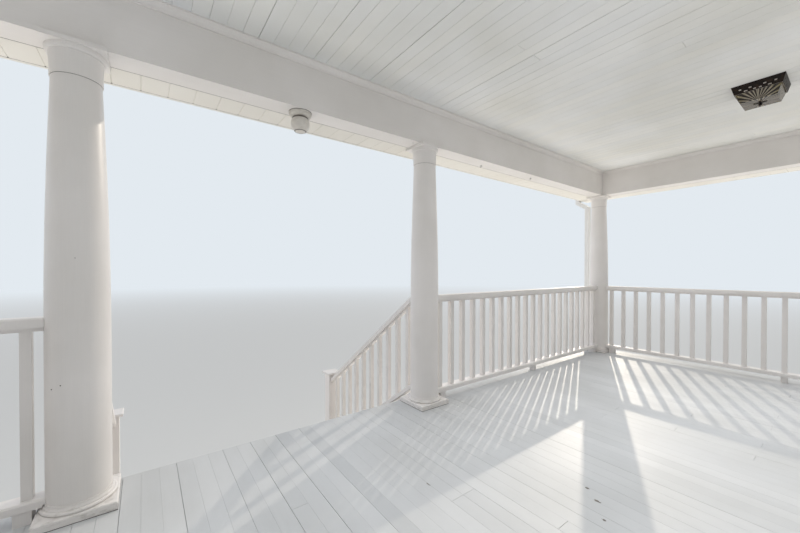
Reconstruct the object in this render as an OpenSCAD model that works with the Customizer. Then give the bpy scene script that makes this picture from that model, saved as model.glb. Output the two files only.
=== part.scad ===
// Front porch of a house, with round columns, baluster railings, a stair and a low hip roof.
// The front faces -Y and the house wall is the plane at the back. The ground is z = 0.
// All pieces are drawn with the column row on y = 0, and placed() then centres the whole on y.

/* [Plan] */
// Distance between the two columns beside the stair
stair_bay = 2170; // [1500:10:2800]
// Distance from a stair column to its corner column
rail_bay = 3250; // [2500:10:3900]
// Distance from the column row back to the house wall
porch_depth = 3470; // [2400:10:4200]
// Floor edge beyond the column centres
floor_lap = 170; // [155:5:300]

/* [Levels] */
// Height of one stair riser
riser_h = 187; // [150:1:200]
// Number of risers from the ground to the floor
riser_count = 7; // [4:1:10]
// Floor to the underside of the beam
column_h = 2169; // [1900:1:2700]

/* [Floor] */
// Thickness of the floor boards
floor_t = 25; // [18:1:40]
// How far the floor boards reach past the apron
nosing = 25; // [10:1:40]
// Thickness of the apron board
apron_t = 20; // [12:1:30]
// Depth of the joists and of the apron
joist_h = 235; // [140:1:290]
// Thickness of a joist
joist_t = 38; // [30:1:60]
// Widest spacing of the joists
joist_gap = 406; // [300:1:610]
// Width of a girder, made of three planks
girder_w = 114; // [76:1:160]
// Depth of a girder
girder_h = 235; // [140:1:290]

/* [Piers and skirt] */
// Side of a square pier
pier_w = 390; // [300:5:500]
// Thickness of a skirt panel
skirt_t = 38; // [20:1:50]
// Width of the boards round a skirt panel
skirt_frame = 89; // [60:1:140]
// Width of a skirt slat
slat_w = 64; // [40:1:100]
// Gap between two slats
slat_gap = 25; // [15:1:60]
// Thickness of a slat
slat_t = 19; // [12:1:30]
// Space under a skirt panel
skirt_lift = 40; // [10:5:100]

/* [Stair] */
// Run of one tread, from riser face to riser face
tread_run = 267; // [240:1:320]
// Thickness of a tread
tread_t = 32; // [25:1:45]
// Thickness of a riser board
riser_t = 19; // [12:1:25]
// Thickness of a side stringer
stringer_t = 44; // [30:1:60]
// Side stringer above the line of the nosings
stringer_rise = 45; // [20:1:80]
// Side stringer below the line of the nosings
stringer_drop = 270; // [240:5:340]
// Throat of the middle carriage, under the notches
carriage_throat = 100; // [70:5:150]

/* [Newels] */
// Side of a newel post
newel_w = 125; // [90:1:150]
// Top of the newel cap above the ground
newel_h = 1146; // [1000:1:1300]
// Side of the newel cap
newel_cap_w = 184; // [120:1:200]
// Thickness of the cap plate
newel_cap_t = 22; // [15:1:40]
// Bevel round the top of the cap
newel_cap_edge = 6; // [2:1:12]
// Centre of the newel in front of the bottom riser
newel_front = 66; // [50:1:90]

/* [Columns] */
// Side of the square plinth
plinth_w = 292; // [260:2:300]
// Height of the square plinth
plinth_h = 38; // [30:1:80]
// Bevel round the top of the plinth and under the abacus
plate_edge = 5; // [2:1:8]
// Height of the round moulding on the plinth
torus_h = 16; // [10:1:20]
// Height of the whole base, plinth included
base_h = 75; // [75:1:120]
// Diameter of the shaft at its foot
shaft_d = 238; // [200:2:250]
// Diameter of the shaft at its neck
neck_d = 184; // [160:1:230]
// Height of the capital, from the neck joint up
capital_h = 152; // [120:1:200]
// Height of the plain ring at the foot of the capital
collar_h = 14; // [8:1:40]
// Height of the round moulding under the abacus
echinus_h = 24; // [12:1:40]
// Side of the square abacus on top
abacus_w = 232; // [216:2:300]
// Thickness of the abacus
abacus_h = 20; // [12:1:40]
// Thickness of a flat half column against the wall
pilaster_t = 45; // [20:1:90]

/* [Railings] */
// Top of the rail above the floor
rail_h = 914; // [850:1:1100]
// Width of the top rail
rail_w = 85; // [60:1:110]
// Thickness of the top rail
rail_t = 44; // [30:1:60]
// Width of the fillet under the top rail
fillet_w = 42; // [38:1:60]
// Height of the fillet under the top rail
fillet_h = 18; // [10:1:30]
// Width of the bottom rail
foot_rail_w = 89; // [60:1:100]
// Height of the bottom rail
foot_rail_h = 38; // [30:1:90]
// Underside of the bottom rail above the floor
foot_lift = 63; // [50:1:100]
// Side of a square baluster
baluster_w = 38; // [25:1:42]
// Widest pitch of the balusters
baluster_pitch = 147; // [110:1:150]
// Bevel along the top edges of the level rails
rail_edge = 7; // [3:1:12]
// Gap between the last baluster and the column
end_gap = 36; // [30:1:80]
// Top of the stair rail above the line of the nosings
stair_rail_h = 875; // [820:1:970]
// Widest pitch of the stair balusters
stair_pitch = 160; // [130:1:200]
// Gap from the last stair baluster to the column and to the newel
stair_end_gap = 84; // [50:1:110]
// Length of the block under each end of the bottom rail
block_w = 60; // [45:1:80]
// Side of the foot under the middle of the bottom rail
foot_w = 48; // [35:1:60]

/* [Beam and ceiling] */
// Width of the boxed beam
beam_w = 156; // [120:2:200]
// Height of the boxed beam
beam_h = 315; // [240:2:400]
// Thickness of the ceiling boards
ceiling_t = 19; // [12:1:25]
// Side of the moulding between beam and ceiling
trim_w = 38; // [20:1:60]
// Depth of a ceiling joist
ceiling_joist_h = 89; // [60:1:140]

/* [Eaves and gutters] */
// Width of the soffit, from the beam to the fascia
soffit_w = 204; // [150:2:400]
// Thickness of the soffit
soffit_t = 12; // [8:1:20]
// Height of the fascia
fascia_h = 285; // [270:1:340]
// Thickness of the fascia
fascia_t = 20; // [15:1:30]
// Width of the gutter at its top
gutter_w = 127; // [100:1:150]
// Height of the gutter
gutter_h = 105; // [80:1:130]
// Thickness of the gutter's sheet
gutter_t = 3; // [2:0.5:4]
// Width of a downspout along the front
spout_w = 76; // [60:2:110]
// Depth of a downspout
spout_d = 51; // [41:2:81]
// Middle of a downspout outside the middle of the corner column
spout_side = 105; // [0:5:120]
// Gap between the downspout and the floor's edge
spout_gap = 5; // [3:1:30]

/* [Roof] */
// Rise of the roof for one unit of run
slope = 0.333; // [0.25:0.001:0.5]
// Thickness of the roof deck, straight down
deck_t = 30; // [20:1:40]
// Deck edge beyond the fascia
deck_lap = 25; // [10:1:40]
// Depth of a rafter, straight down
rafter_h = 94; // [70:1:140]
// Thickness of a rafter
rafter_t = 38; // [30:1:50]
// Spacing of the rafters
rafter_gap = 610; // [400:5:700]

/* [Lights] */
// Side of a ceiling light
light_w = 275; // [250:5:330]
// Height of the light's metal band
light_band = 58; // [40:1:90]
// Depth of the glass below the band
light_glass = 62; // [40:1:90]
// Side of the metal band at its lower edge
light_mid_w = 245; // [215:5:250]
// Side of the glass at its bottom
light_low_w = 190; // [140:5:210]
// Diameter of the knob under the glass
finial_d = 24; // [16:1:40]
// Distance of a ceiling light from the corner column, as a part of the railing bay
light_part = 0.47; // [0.3:0.01:0.7]
// Diameter of the entry light's canopy
canopy_d = 147; // [125:1:180]
// Depth of the entry light's canopy
canopy_h = 32; // [24:1:45]
// Diameter of the entry light's globe
globe_d = 120; // [90:2:130]

/* [Hidden] */
$fn = 64;

// Clearance round a piece that another is fitted to
fit = 0.3;
// How far pieces of one node run into each other
bite = 1;
// Fine steps of the column mouldings
step_w = 4;
step_h = 5;
base_reach = plinth_w / 2 - 6;
// Places of the column centres
stair_x = stair_bay / 2;
corner_x = stair_x + rail_bay;
// Levels
floor_z = riser_h * riser_count;
joist_top = floor_z - floor_t;
joist_z = joist_top - joist_h;
pier_h = joist_z - girder_h;
beam_z = floor_z + column_h;
ceiling_z = beam_z + beam_h;
ceiling_top = ceiling_z + ceiling_t;
// Outlines of the floor and its frame
floor_x = corner_x + floor_lap;
apron_x = floor_x - nosing;
apron_y = nosing - floor_lap;
frame_x = apron_x - apron_t;
frame_y = apron_y + apron_t;
pier_x = frame_x - pier_w / 2;
pier_y = frame_y + pier_w / 2;
// Outlines of the eaves and the roof
beam_half = beam_w / 2;
eave_reach = beam_half + soffit_w + fascia_t;
eave_x = corner_x + eave_reach;
deck_x = eave_x + deck_lap;
deck_y = -eave_reach - deck_lap;
ridge_x = deck_x - (porch_depth - deck_y);
mitre_reach = 2 * gutter_w;
// Stair
tread_count = riser_count - 1;
pitch_slope = riser_h / tread_run;
foot_y = apron_y - tread_count * tread_run;
newel_y = foot_y - newel_front;
newel_back = newel_y + newel_w / 2;
tread_half = stair_x - stringer_t / 2;
// Places of the lights
light_x = corner_x - rail_bay * light_part;
light_y = (porch_depth + beam_half) / 2;
// Sheet, rod and edge sizes of the lights
light_sheet = 5;
light_rod = 8;
glass_t = 4;
glass_lap = 10;
canopy_rim = 8;
canopy_neck = globe_d * 0.4;
// The globe is cut at these angles from its middle
globe_from = -45;
globe_to = 54;
// Gutters hang a little under the roof's edge, and downspouts start under them
gutter_gap = 8;
gutter_bulge = 10;
gutter_z = beam_z + fascia_h - gutter_h - gutter_gap;
gutter_base = gutter_w * 0.56;
spout_x = corner_x + spout_side;
spout_y = -floor_lap - spout_gap - spout_d / 2;
spout_top_y = -eave_reach - gutter_base / 2;
elbow_drop = 30;
elbow_fall = 90;
spout_foot = 110;
spout_kick = 120;
strap_h = 30;
strap_lap = 8;
strap_places = [0.35, 0.8];
// Shift that centres the whole between the newel caps and the wall
centre_y = -(porch_depth + newel_y - newel_cap_w / 2) / 2;

white = "#ECE9E2";
cream = "#E6DFCE";
floor_grey = "#BFC3C6";
raw_pine = "#C9AE84";
brick_red = "#9A6A58";
shingle_grey = "#6E6A66";
bronze = "#3B2F29";
glass_grey = "#D9D6CC";

module placed() translate([0, centre_y, 0]) children();

// The same piece on both sides of the stair
module both_sides() {
  children();
  mirror([1, 0, 0]) children();
}

// Height of the roof's underside at a distance behind the fascia's face
function roof_z(back) = beam_z + fascia_h + slope * back;

// Height of the line through the nosings, at a place in front of the columns
function nosing_z(y) = floor_z + (y + floor_lap) * pitch_slope;

// Number of balusters between two faces, and the place of one of them
function baluster_count(clear, gap, pitch) = ceil((clear - 2 * gap - baluster_w) / pitch) + 1;
function baluster_place(clear, gap, n, i) =
  gap + baluster_w / 2 + i * (clear - 2 * gap - baluster_w) / (n - 1);

// Radius of the shaft, which stays full for a third and then swells gently into the neck
function shaft_r(part) = part < 1 / 3
  ? shaft_d / 2
  : neck_d / 2 + (shaft_d - neck_d) / 2 * cos(90 * pow((part - 1 / 3) * 1.5, 1.15));

// Points of a quarter round from one corner to another; bulge 1 is convex and 0 is concave
function quarter(x0, z0, x1, z1, bulge, steps = 5) = [
  for (i = [0 : steps])
    let (a = 90 * i / steps)
    bulge == 1
      ? [x0 + (x1 - x0) * sin(a), z0 + (z1 - z0) * (1 - cos(a))]
      : [x0 + (x1 - x0) * (1 - cos(a)), z0 + (z1 - z0) * sin(a)]
];

module pier_row(y) {
  for (x = [-pier_x, -stair_x, stair_x, pier_x])
    translate([x - pier_w / 2, y - pier_w / 2, 0]) cube([pier_w, pier_w, pier_h]);
}

module front_piers() color(brick_red) placed() pier_row(pier_y);

module rear_piers() color(brick_red) placed() pier_row(porch_depth - pier_w / 2);

module floor_girders() color(raw_pine) placed() {
  for (x = [-pier_x, -stair_x, stair_x, pier_x])
    translate([x - girder_w / 2, frame_y, pier_h]) cube([girder_w, porch_depth - frame_y, girder_h]);
}

module floor_joists() color(raw_pine) placed() {
  bays = ceil((porch_depth - frame_y - joist_t) / joist_gap);
  step = (porch_depth - frame_y - joist_t) / bays;
  for (i = [0 : bays])
    translate([-frame_x, frame_y + i * step, joist_z]) cube([2 * frame_x, joist_t, joist_h]);
}

// The boards' ends are rounded over along the front and the sides
module porch_floor() color(floor_grey) placed() {
  round_r = floor_t / 2;
  translate([0, 0, joist_top]) {
    translate([-floor_x + round_r, -floor_lap + round_r, 0])
      cube([2 * (floor_x - round_r), porch_depth + floor_lap - round_r, floor_t]);
    intersection() {
      union() {
        translate([-floor_x, -floor_lap + round_r, round_r])
          rotate([0, 90, 0]) cylinder(h = 2 * floor_x, r = round_r);
        both_sides()
          translate([floor_x - round_r, porch_depth, round_r])
            rotate([90, 0, 0]) cylinder(h = porch_depth + floor_lap, r = round_r);
      }
      translate([-floor_x, -floor_lap, 0]) cube([2 * floor_x, porch_depth + floor_lap, floor_t]);
    }
  }
}

module apron_front() color(white) placed()
  translate([-apron_x, apron_y, joist_z]) cube([2 * apron_x, apron_t, joist_h]);

module apron_side() color(white) placed()
  translate([frame_x, frame_y, joist_z]) cube([apron_t, porch_depth - frame_y, joist_h]);

// A framed panel of upright slats, along x from 0, its outer face on y = 0
module skirt_panel(length) {
  height = joist_z - skirt_lift;
  inner = length - 2 * skirt_frame;
  n = floor((inner - slat_gap) / (slat_w + slat_gap));
  gap = (inner - n * slat_w) / (n + 1);
  difference() {
    cube([length, skirt_t, height]);
    translate([skirt_frame, -bite, skirt_frame])
      cube([inner, skirt_t + 2 * bite, height - 2 * skirt_frame]);
  }
  for (i = [0 : n - 1])
    translate([skirt_frame + gap + i * (slat_w + gap), (skirt_t - slat_t) / 2, skirt_frame - bite])
      cube([slat_w, slat_t, height - 2 * skirt_frame + 2 * bite]);
}

module skirt_front() color(white) placed()
  translate([stair_x + pier_w / 2, frame_y, skirt_lift])
    skirt_panel(pier_x - stair_x - pier_w);

module skirt_side() color(white) placed()
  translate([frame_x, frame_y + pier_w, skirt_lift])
    rotate([0, 0, 90]) skirt_panel(porch_depth - frame_y - 2 * pier_w);

// Side stringer in the YZ plane, between the apron and the newel
module side_stringer_outline() {
  intersection() {
    polygon([
      [apron_y, nosing_z(apron_y) + stringer_rise],
      [newel_back, nosing_z(newel_back) + stringer_rise],
      [newel_back, nosing_z(newel_back) - stringer_drop],
      [apron_y, nosing_z(apron_y) - stringer_drop]
    ]);
    translate([newel_back, 0]) square([apron_y - newel_back, joist_top]);
  }
}

// Middle carriage in the YZ plane, notched for each tread and riser
module carriage_outline() {
  notches = [
    for (i = [1 : tread_count])
      let (back = apron_y - (i - 1) * tread_run + (i == 1 ? 0 : riser_t), top = floor_z - i * riser_h - tread_t)
      each [[back, top], [apron_y - i * tread_run + riser_t, top]]
  ];
  foot = apron_y - tread_count * tread_run + riser_t;
  low = nosing_z(apron_y) - riser_h - tread_t - carriage_throat;
  polygon(concat(
    notches,
    [[foot, 0], [apron_y - (low / pitch_slope), 0], [apron_y, low]]
  ));
}

module along_x(x0, width) translate([x0, 0, 0]) rotate([90, 0, 90]) linear_extrude(width) children();

module stair_stringers() color(white) placed() {
  both_sides() along_x(stair_x - stringer_t / 2, stringer_t) side_stringer_outline();
  along_x(-joist_t / 2, joist_t) carriage_outline();
}

// Each tread butts the riser behind it and has a rounded front edge
module stair_treads() color(floor_grey) placed() {
  round_r = tread_t / 2;
  for (i = [1 : tread_count])
    difference() {
      translate([0, 0, floor_z - i * riser_h - tread_t]) {
        translate([-tread_half, apron_y - i * tread_run - nosing + round_r, 0])
          cube([2 * tread_half, tread_run + nosing - round_r, tread_t]);
        translate([-tread_half, apron_y - i * tread_run - nosing + round_r, round_r])
          rotate([0, 90, 0]) cylinder(h = 2 * tread_half, r = round_r);
      }
      both_sides() newel_space();
    }
}

module stair_risers() color(white) placed() {
  for (i = [1 : tread_count])
    difference() {
      low = i == tread_count ? 0 : floor_z - (i + 1) * riser_h - tread_t;
      translate([-tread_half, apron_y - i * tread_run, low])
        cube([2 * tread_half, riser_t, floor_z - i * riser_h - tread_t - low]);
      both_sides() newel_space();
    }
}

// Room for the right newel, with the fit round it
module newel_space()
  translate([stair_x - newel_w / 2 - fit, newel_y - newel_w / 2 - fit, -bite])
    cube([newel_w + 2 * fit, newel_w + fit, newel_h]);

// A square plate centred on the z axis, bevelled round its top
module plate(side, height, edge) {
  translate([-side / 2, -side / 2, 0]) cube([side, side, height - edge]);
  translate([0, 0, height - edge]) rotate([0, 0, 45])
    cylinder(h = edge, d1 = side * sqrt(2), d2 = (side - 2 * edge) * sqrt(2), $fn = 4);
}

module newel() color(white) placed() translate([stair_x, newel_y, 0]) {
  plate_z = newel_h - newel_cap_t;
  translate([-newel_w / 2, -newel_w / 2, 0]) cube([newel_w, newel_w, plate_z]);
  translate([0, 0, plate_z]) plate(newel_cap_w, newel_cap_t, newel_cap_edge);
}

// Square plate, a round moulding, a fine step and a hollow up to the shaft
module column_base() color(white) translate([0, 0, floor_z]) {
  torus_x = base_reach - torus_h / 2;
  torus_z = plinth_h + torus_h;
  plate(plinth_w, plinth_h, plate_edge);
  rotate_extrude() polygon(concat(
    [[0, plinth_h - bite], [torus_x, plinth_h - bite]],
    [for (a = [-90 : 30 : 90]) [torus_x + torus_h / 2 * cos(a), plinth_h + torus_h / 2 * (1 + sin(a))]],
    [[torus_x - step_w, torus_z], [torus_x - step_w, torus_z + step_h]],
    quarter(torus_x - step_w, torus_z + step_h, shaft_d / 2 + step_w, base_h - step_h, 1, 4),
    [[shaft_d / 2 + step_w, base_h], [0, base_h]]
  ));
}

module shaft_body(grow = 0) {
  steps = 9;
  bottom = floor_z + base_h;
  top = beam_z - capital_h;
  rotate_extrude() polygon(concat(
    [[0, bottom], [shaft_r(0) + grow, bottom]],
    [for (i = [3 : steps]) [shaft_r(i / steps) + grow, bottom + (top - bottom) * i / steps]],
    [[0, top]]
  ));
}

module column_shaft() color(white) shaft_body();

// A plain ring, a long hollow that spreads, a fine step, a round moulding and the square abacus
module column_capital() color(white) translate([0, 0, beam_z - capital_h]) {
  ring_r = neck_d / 2 + step_w;
  spread_r = abacus_w / 2 - echinus_h / 2 - step_w;
  spread_z = capital_h - abacus_h - echinus_h;
  abacus_z = capital_h - abacus_h;
  rotate_extrude() polygon(concat(
    [[0, 0], [ring_r, 0]],
    quarter(ring_r, collar_h, spread_r, spread_z - step_h, 0, 6),
    [[spread_r, spread_z]],
    quarter(spread_r + step_w, spread_z, abacus_w / 2 - step_w, abacus_z, 1, 4),
    [[0, abacus_z]]
  ));
  translate([-abacus_w / 2, -abacus_w / 2, abacus_z]) cube([abacus_w, abacus_w, abacus_h]);
}

module wall_pilasters() color(white) placed() both_sides()
  translate([corner_x - shaft_d / 2, porch_depth - pilaster_t, floor_z])
    cube([shaft_d, pilaster_t, column_h]);

// Section of a level rail, its underside on y = 0, bevelled along the top
module rail_section(width, height) polygon([
  [-width / 2, 0], [width / 2, 0], [width / 2, height - rail_edge],
  [width / 2 - rail_edge, height], [-width / 2 + rail_edge, height], [-width / 2, height - rail_edge]
]);

// One level rail run along x from 0, centred on y = 0, with balusters between two faces
module rail_run(start, clear, length) {
  n = baluster_count(clear, end_gap, baluster_pitch);
  top = rail_h - rail_t;
  low = foot_lift + foot_rail_h;
  translate([0, 0, top]) along_x(0, length) rail_section(rail_w, rail_t);
  translate([0, -fillet_w / 2, top - fillet_h]) cube([length, fillet_w, fillet_h + bite]);
  translate([0, 0, foot_lift]) along_x(0, length) rail_section(foot_rail_w, foot_rail_h);
  for (i = [0 : n - 1])
    translate([start + baluster_place(clear, end_gap, n, i) - baluster_w / 2, -baluster_w / 2, low - bite])
      cube([baluster_w, baluster_w, top - fillet_h - low + 2 * bite]);
  for (x = [start + end_gap, start + clear - end_gap - block_w])
    translate([x, -foot_rail_w / 2 + rail_edge, 0])
      cube([block_w, foot_rail_w - 2 * rail_edge, foot_lift + bite]);
  translate([start + (clear - foot_w) / 2, -foot_w / 2, 0]) cube([foot_w, foot_w, foot_lift + bite]);
}

// Room for a column at the origin, from the floor up
module column_space() {
  shaft_body(fit);
  translate([-plinth_w / 2 - fit, -plinth_w / 2 - fit, floor_z - bite])
    cube([plinth_w + 2 * fit, plinth_w + 2 * fit, plinth_h + bite + fit]);
  translate([0, 0, floor_z]) cylinder(h = plinth_h + torus_h + fit, r = base_reach + fit);
  translate([0, 0, floor_z]) cylinder(h = base_h + fit, r = base_reach - torus_h / 2 - step_w + fit);
}

module railing_front() color(white) placed() difference() {
  translate([stair_x, 0, floor_z]) rail_run(shaft_d / 2, rail_bay - shaft_d, rail_bay);
  translate([stair_x, 0, 0]) column_space();
  translate([corner_x, 0, 0]) column_space();
}

module railing_side() color(white) placed() difference() {
  translate([corner_x, 0, floor_z]) rotate([0, 0, 90])
    rail_run(shaft_d / 2, porch_depth - pilaster_t - shaft_d / 2, porch_depth - pilaster_t);
  translate([corner_x, 0, 0]) column_space();
}

// A sloped bar in the YZ plane, from the newel to the column, its top at a height over the nosings
module sloped_bar(top, height) polygon([
  [newel_back, nosing_z(newel_back) + top],
  [0, nosing_z(0) + top],
  [0, nosing_z(0) + top - height],
  [newel_back, nosing_z(newel_back) + top - height]
]);

module stair_rail() color(white) placed() difference() {
  clear = -newel_back - shaft_d / 2;
  n = baluster_count(clear, stair_end_gap, stair_pitch);
  low = foot_lift + foot_rail_h;
  union() {
    along_x(stair_x - rail_w / 2, rail_w) sloped_bar(stair_rail_h, rail_t);
    along_x(stair_x - fillet_w / 2, fillet_w) sloped_bar(stair_rail_h - rail_t + bite, fillet_h + bite);
    along_x(stair_x - foot_rail_w / 2, foot_rail_w) sloped_bar(low, foot_rail_h);
    along_x(stair_x - baluster_w / 2, baluster_w)
      for (i = [0 : n - 1])
        let (y = newel_back + baluster_place(clear, stair_end_gap, n, i))
        polygon([
          [y - baluster_w / 2, nosing_z(y - baluster_w / 2) + low - bite],
          [y + baluster_w / 2, nosing_z(y + baluster_w / 2) + low - bite],
          [y + baluster_w / 2, nosing_z(y + baluster_w / 2) + stair_rail_h - rail_t - fillet_h + bite],
          [y - baluster_w / 2, nosing_z(y - baluster_w / 2) + stair_rail_h - rail_t - fillet_h + bite]
        ]);
  }
  translate([stair_x, 0, 0]) column_space();
}

module beam_front() color(white) placed()
  translate([-corner_x - beam_half, -beam_half, beam_z]) cube([2 * corner_x + beam_w, beam_w, beam_h]);

module beam_side() color(white) placed()
  translate([corner_x - beam_half, beam_half, beam_z]) cube([beam_w, porch_depth - beam_half, beam_h]);

module ceiling() color(white) placed()
  translate([-corner_x, 0, ceiling_z]) cube([2 * corner_x, porch_depth, ceiling_t]);

// Moulding with a cove face, mitred round the three beams
module ceiling_trim() color(white) placed() {
  inner_x = corner_x - beam_half;
  lip = trim_w / 5;
  hollow = quarter(lip, -trim_w, trim_w, -lip, 0);
  profile = concat([[0, 0], [0, -trim_w]], hollow, [[trim_w, 0]]);
  translate([0, 0, ceiling_z]) {
    intersection() {
      translate([-inner_x, beam_half, 0]) along_x(0, 2 * inner_x) polygon(profile);
      translate([0, 0, -trim_w - bite]) linear_extrude(trim_w + 2 * bite) polygon([
        [-inner_x, beam_half], [inner_x, beam_half],
        [inner_x - trim_w, beam_half + trim_w], [-inner_x + trim_w, beam_half + trim_w]
      ]);
    }
    both_sides() intersection() {
      translate([inner_x, porch_depth, 0]) rotate([90, 0, 0])
        linear_extrude(porch_depth - beam_half) mirror([1, 0]) polygon(profile);
      translate([0, 0, -trim_w - bite]) linear_extrude(trim_w + 2 * bite) polygon([
        [inner_x, beam_half], [inner_x, porch_depth],
        [inner_x - trim_w, porch_depth], [inner_x - trim_w, beam_half + trim_w]
      ]);
    }
  }
}

// Plan of the front slope and of the right slope, which meet on the hip line
module front_plan() polygon([
  [-deck_x - mitre_reach, deck_y - mitre_reach], [deck_x + mitre_reach, deck_y - mitre_reach],
  [ridge_x, porch_depth], [-ridge_x, porch_depth]
]);

module side_plan() polygon([
  [deck_x + mitre_reach, deck_y - mitre_reach], [deck_x + mitre_reach, porch_depth], [ridge_x, porch_depth]
]);

// A band under the roof plane: x runs back from the fascia's face
module slope_band(x0, x1, low, high) polygon([
  [x0, roof_z(x0) + low], [x1, roof_z(x1) + low], [x1, roof_z(x1) + high], [x0, roof_z(x0) + high]
]);

// Lays a front outline along the front, and a side outline along the right side
module on_front() intersection() {
  translate([0, -eave_reach, 0]) children();
  linear_extrude(2 * roof_z(porch_depth)) front_plan();
}

module on_right() intersection() {
  translate([eave_x, 0, 0]) rotate([0, 0, 90]) children();
  linear_extrude(2 * roof_z(porch_depth)) side_plan();
}

// Deck and rafters of one slope, drawn as for the front, between two places along its eave
module roof_plane(from, to, run, rafter_places) {
  along_x(from, to - from) slope_band(-deck_lap, run, 0, deck_t);
  for (x = rafter_places)
    along_x(x - rafter_t / 2, rafter_t) slope_band(fascia_t, run, -rafter_h, bite);
}

// Everything from the soffit to the ceiling boards, which the rafters are cut to sit over
module beam_space() {
  translate([-corner_x - beam_half, -beam_half, 0])
    cube([2 * corner_x + beam_w, porch_depth + bite + beam_half, ceiling_top]);
}

module roof_front() color(shingle_grey) placed() difference() {
  count = floor((eave_x - rafter_gap / 2) / rafter_gap);
  places = [for (side = [-1, 1], i = [0 : count]) side * rafter_gap * (i + 0.5)];
  on_front() roof_plane(-deck_x, deck_x, porch_depth + eave_reach, places);
  beam_space();
}

module roof_side() color(shingle_grey) placed() difference() {
  count = floor((porch_depth + eave_reach) / rafter_gap);
  places = [for (i = [0 : count]) porch_depth - rafter_t / 2 - i * rafter_gap];
  on_right() roof_plane(deck_y, porch_depth, porch_depth + eave_reach, places);
  beam_space();
}

// Joists on the ceiling, cut to the slopes over them
module ceiling_joists() color(raw_pine) placed() {
  count = floor(porch_depth / rafter_gap);
  intersection() {
    for (i = [1 : count])
      translate([-corner_x, min(i * rafter_gap, porch_depth - joist_t), ceiling_top])
        cube([2 * corner_x, joist_t, ceiling_joist_h]);
    both_sides() translate([0, porch_depth, 0]) rotate([90, 0, 0]) linear_extrude(porch_depth + bite) polygon([
      [-bite, ceiling_z], [eave_x, ceiling_z], [eave_x, roof_z(0) - rafter_h - fit],
      [ridge_x, roof_z(eave_x - ridge_x) - rafter_h - fit], [-bite, roof_z(eave_x - ridge_x) - rafter_h - fit]
    ]);
  }
}

// Soffit and fascia in section, x back from the fascia's face
module eave_section() {
  translate([0, beam_z]) square([fascia_t, fascia_h]);
  translate([0, beam_z]) square([fascia_t + soffit_w, soffit_t]);
}

module eave_front() color(cream) placed()
  on_front() along_x(-eave_x, 2 * eave_x) eave_section();

module eave_side() color(cream) placed()
  on_right() along_x(-eave_reach, porch_depth + eave_reach) eave_section();

// Open trough in section: a flat back on the fascia, a flat bottom and an ogee front
module gutter_outline(inset = 0) {
  knee = gutter_base + gutter_bulge;
  low = gutter_h * 0.35;
  brow = gutter_h * 0.72;
  polygon(concat(
    [[-inset, gutter_h + 2 * inset], [-inset, inset], [-gutter_base + inset, inset]],
    [[-knee + gutter_bulge / 2 + inset, low / 2], [-knee + inset, low]],
    quarter(-knee + inset, low, -gutter_w + gutter_gap + inset, brow, 1, 4),
    [[-gutter_w + inset, brow + gutter_gap], [-gutter_w + inset, gutter_h + 2 * inset]]
  ));
}

module gutter_section() difference() {
  gutter_outline();
  gutter_outline(gutter_t);
}

// The two side gutters are closed by a plate where they meet the wall
module gutters() color(white) placed() translate([0, 0, gutter_z]) {
  on_front() along_x(-eave_x - gutter_w, 2 * (eave_x + gutter_w)) gutter_section();
  both_sides() translate([fit, 0, 0]) on_right() {
    along_x(-eave_reach - gutter_w, porch_depth + eave_reach + gutter_w) gutter_section();
    along_x(porch_depth - gutter_t, gutter_t) gutter_outline();
  }
}

// One edge of a bent band, at a distance from its middle line
function unit(v) = v / norm(v);
function band_edge(path, i, reach) =
  let (
    last = len(path) - 1,
    before = i == 0 ? unit(path[1] - path[0]) : unit(path[i] - path[i - 1]),
    after = i == last ? before : unit(path[i + 1] - path[i]),
    middle = unit(before + after)
  )
  path[i] + reach / (middle * before) * [middle[1], -middle[0]];

// Pipe from the gutter, back under the soffit, down past the floor's edge and out at its foot,
// with blocks that hold it to the apron and to the front pier
module downspouts() color(white) placed() both_sides() {
  elbow_z = beam_z - elbow_drop;
  path = [
    [spout_top_y, gutter_z], [spout_top_y, elbow_z], [spout_y, elbow_z - elbow_fall],
    [spout_y, spout_foot + spout_kick], [spout_y - spout_kick, spout_foot]
  ];
  along_x(spout_x - spout_w / 2, spout_w) polygon(concat(
    [for (i = [0 : 4]) band_edge(path, i, spout_d / 2)],
    [for (i = [4 : -1 : 0]) band_edge(path, i, -spout_d / 2)]
  ));
  translate([spout_x - spout_w / 2 - strap_lap, spout_y, joist_z + joist_h * strap_places[0]])
    cube([spout_w + 2 * strap_lap, apron_y - spout_y, strap_h]);
  translate([spout_x - spout_w / 2 - strap_lap, spout_y, pier_h * strap_places[1]])
    cube([spout_w + 2 * strap_lap, frame_y - spout_y, strap_h]);
}

module light_pair() both_sides() translate([light_x, light_y, ceiling_z]) children();

// Four-sided taper with its wide end on z = 0, standing upwards
module square_taper(height, wide, narrow)
  rotate([0, 0, 45]) cylinder(h = height, d1 = wide * sqrt(2), d2 = narrow * sqrt(2), $fn = 4);

// Tapered square band, closed on top, with a rod down its middle that ends in a knob under the glass
module ceiling_light_frames() color(bronze) placed() light_pair() mirror([0, 0, 1]) {
  knob_z = light_band + light_glass + finial_d / 2;
  inset = 2 * light_sheet;
  difference() {
    square_taper(light_band, light_w, light_mid_w);
    difference() {
      translate([0, 0, -bite])
        square_taper(light_band + 2 * bite, light_w - inset, light_mid_w - inset);
      translate([-light_w, -light_w, -2 * bite]) cube([2 * light_w, 2 * light_w, light_sheet + 2 * bite]);
    }
  }
  translate([0, 0, bite]) cylinder(h = knob_z, d = light_rod, $fn = 16);
  translate([0, 0, knob_z]) rotate_extrude($fn = 24)
    polygon([for (a = [-90 : 22.5 : 90]) finial_d / 2 * [cos(a), sin(a)]]);
}

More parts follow.
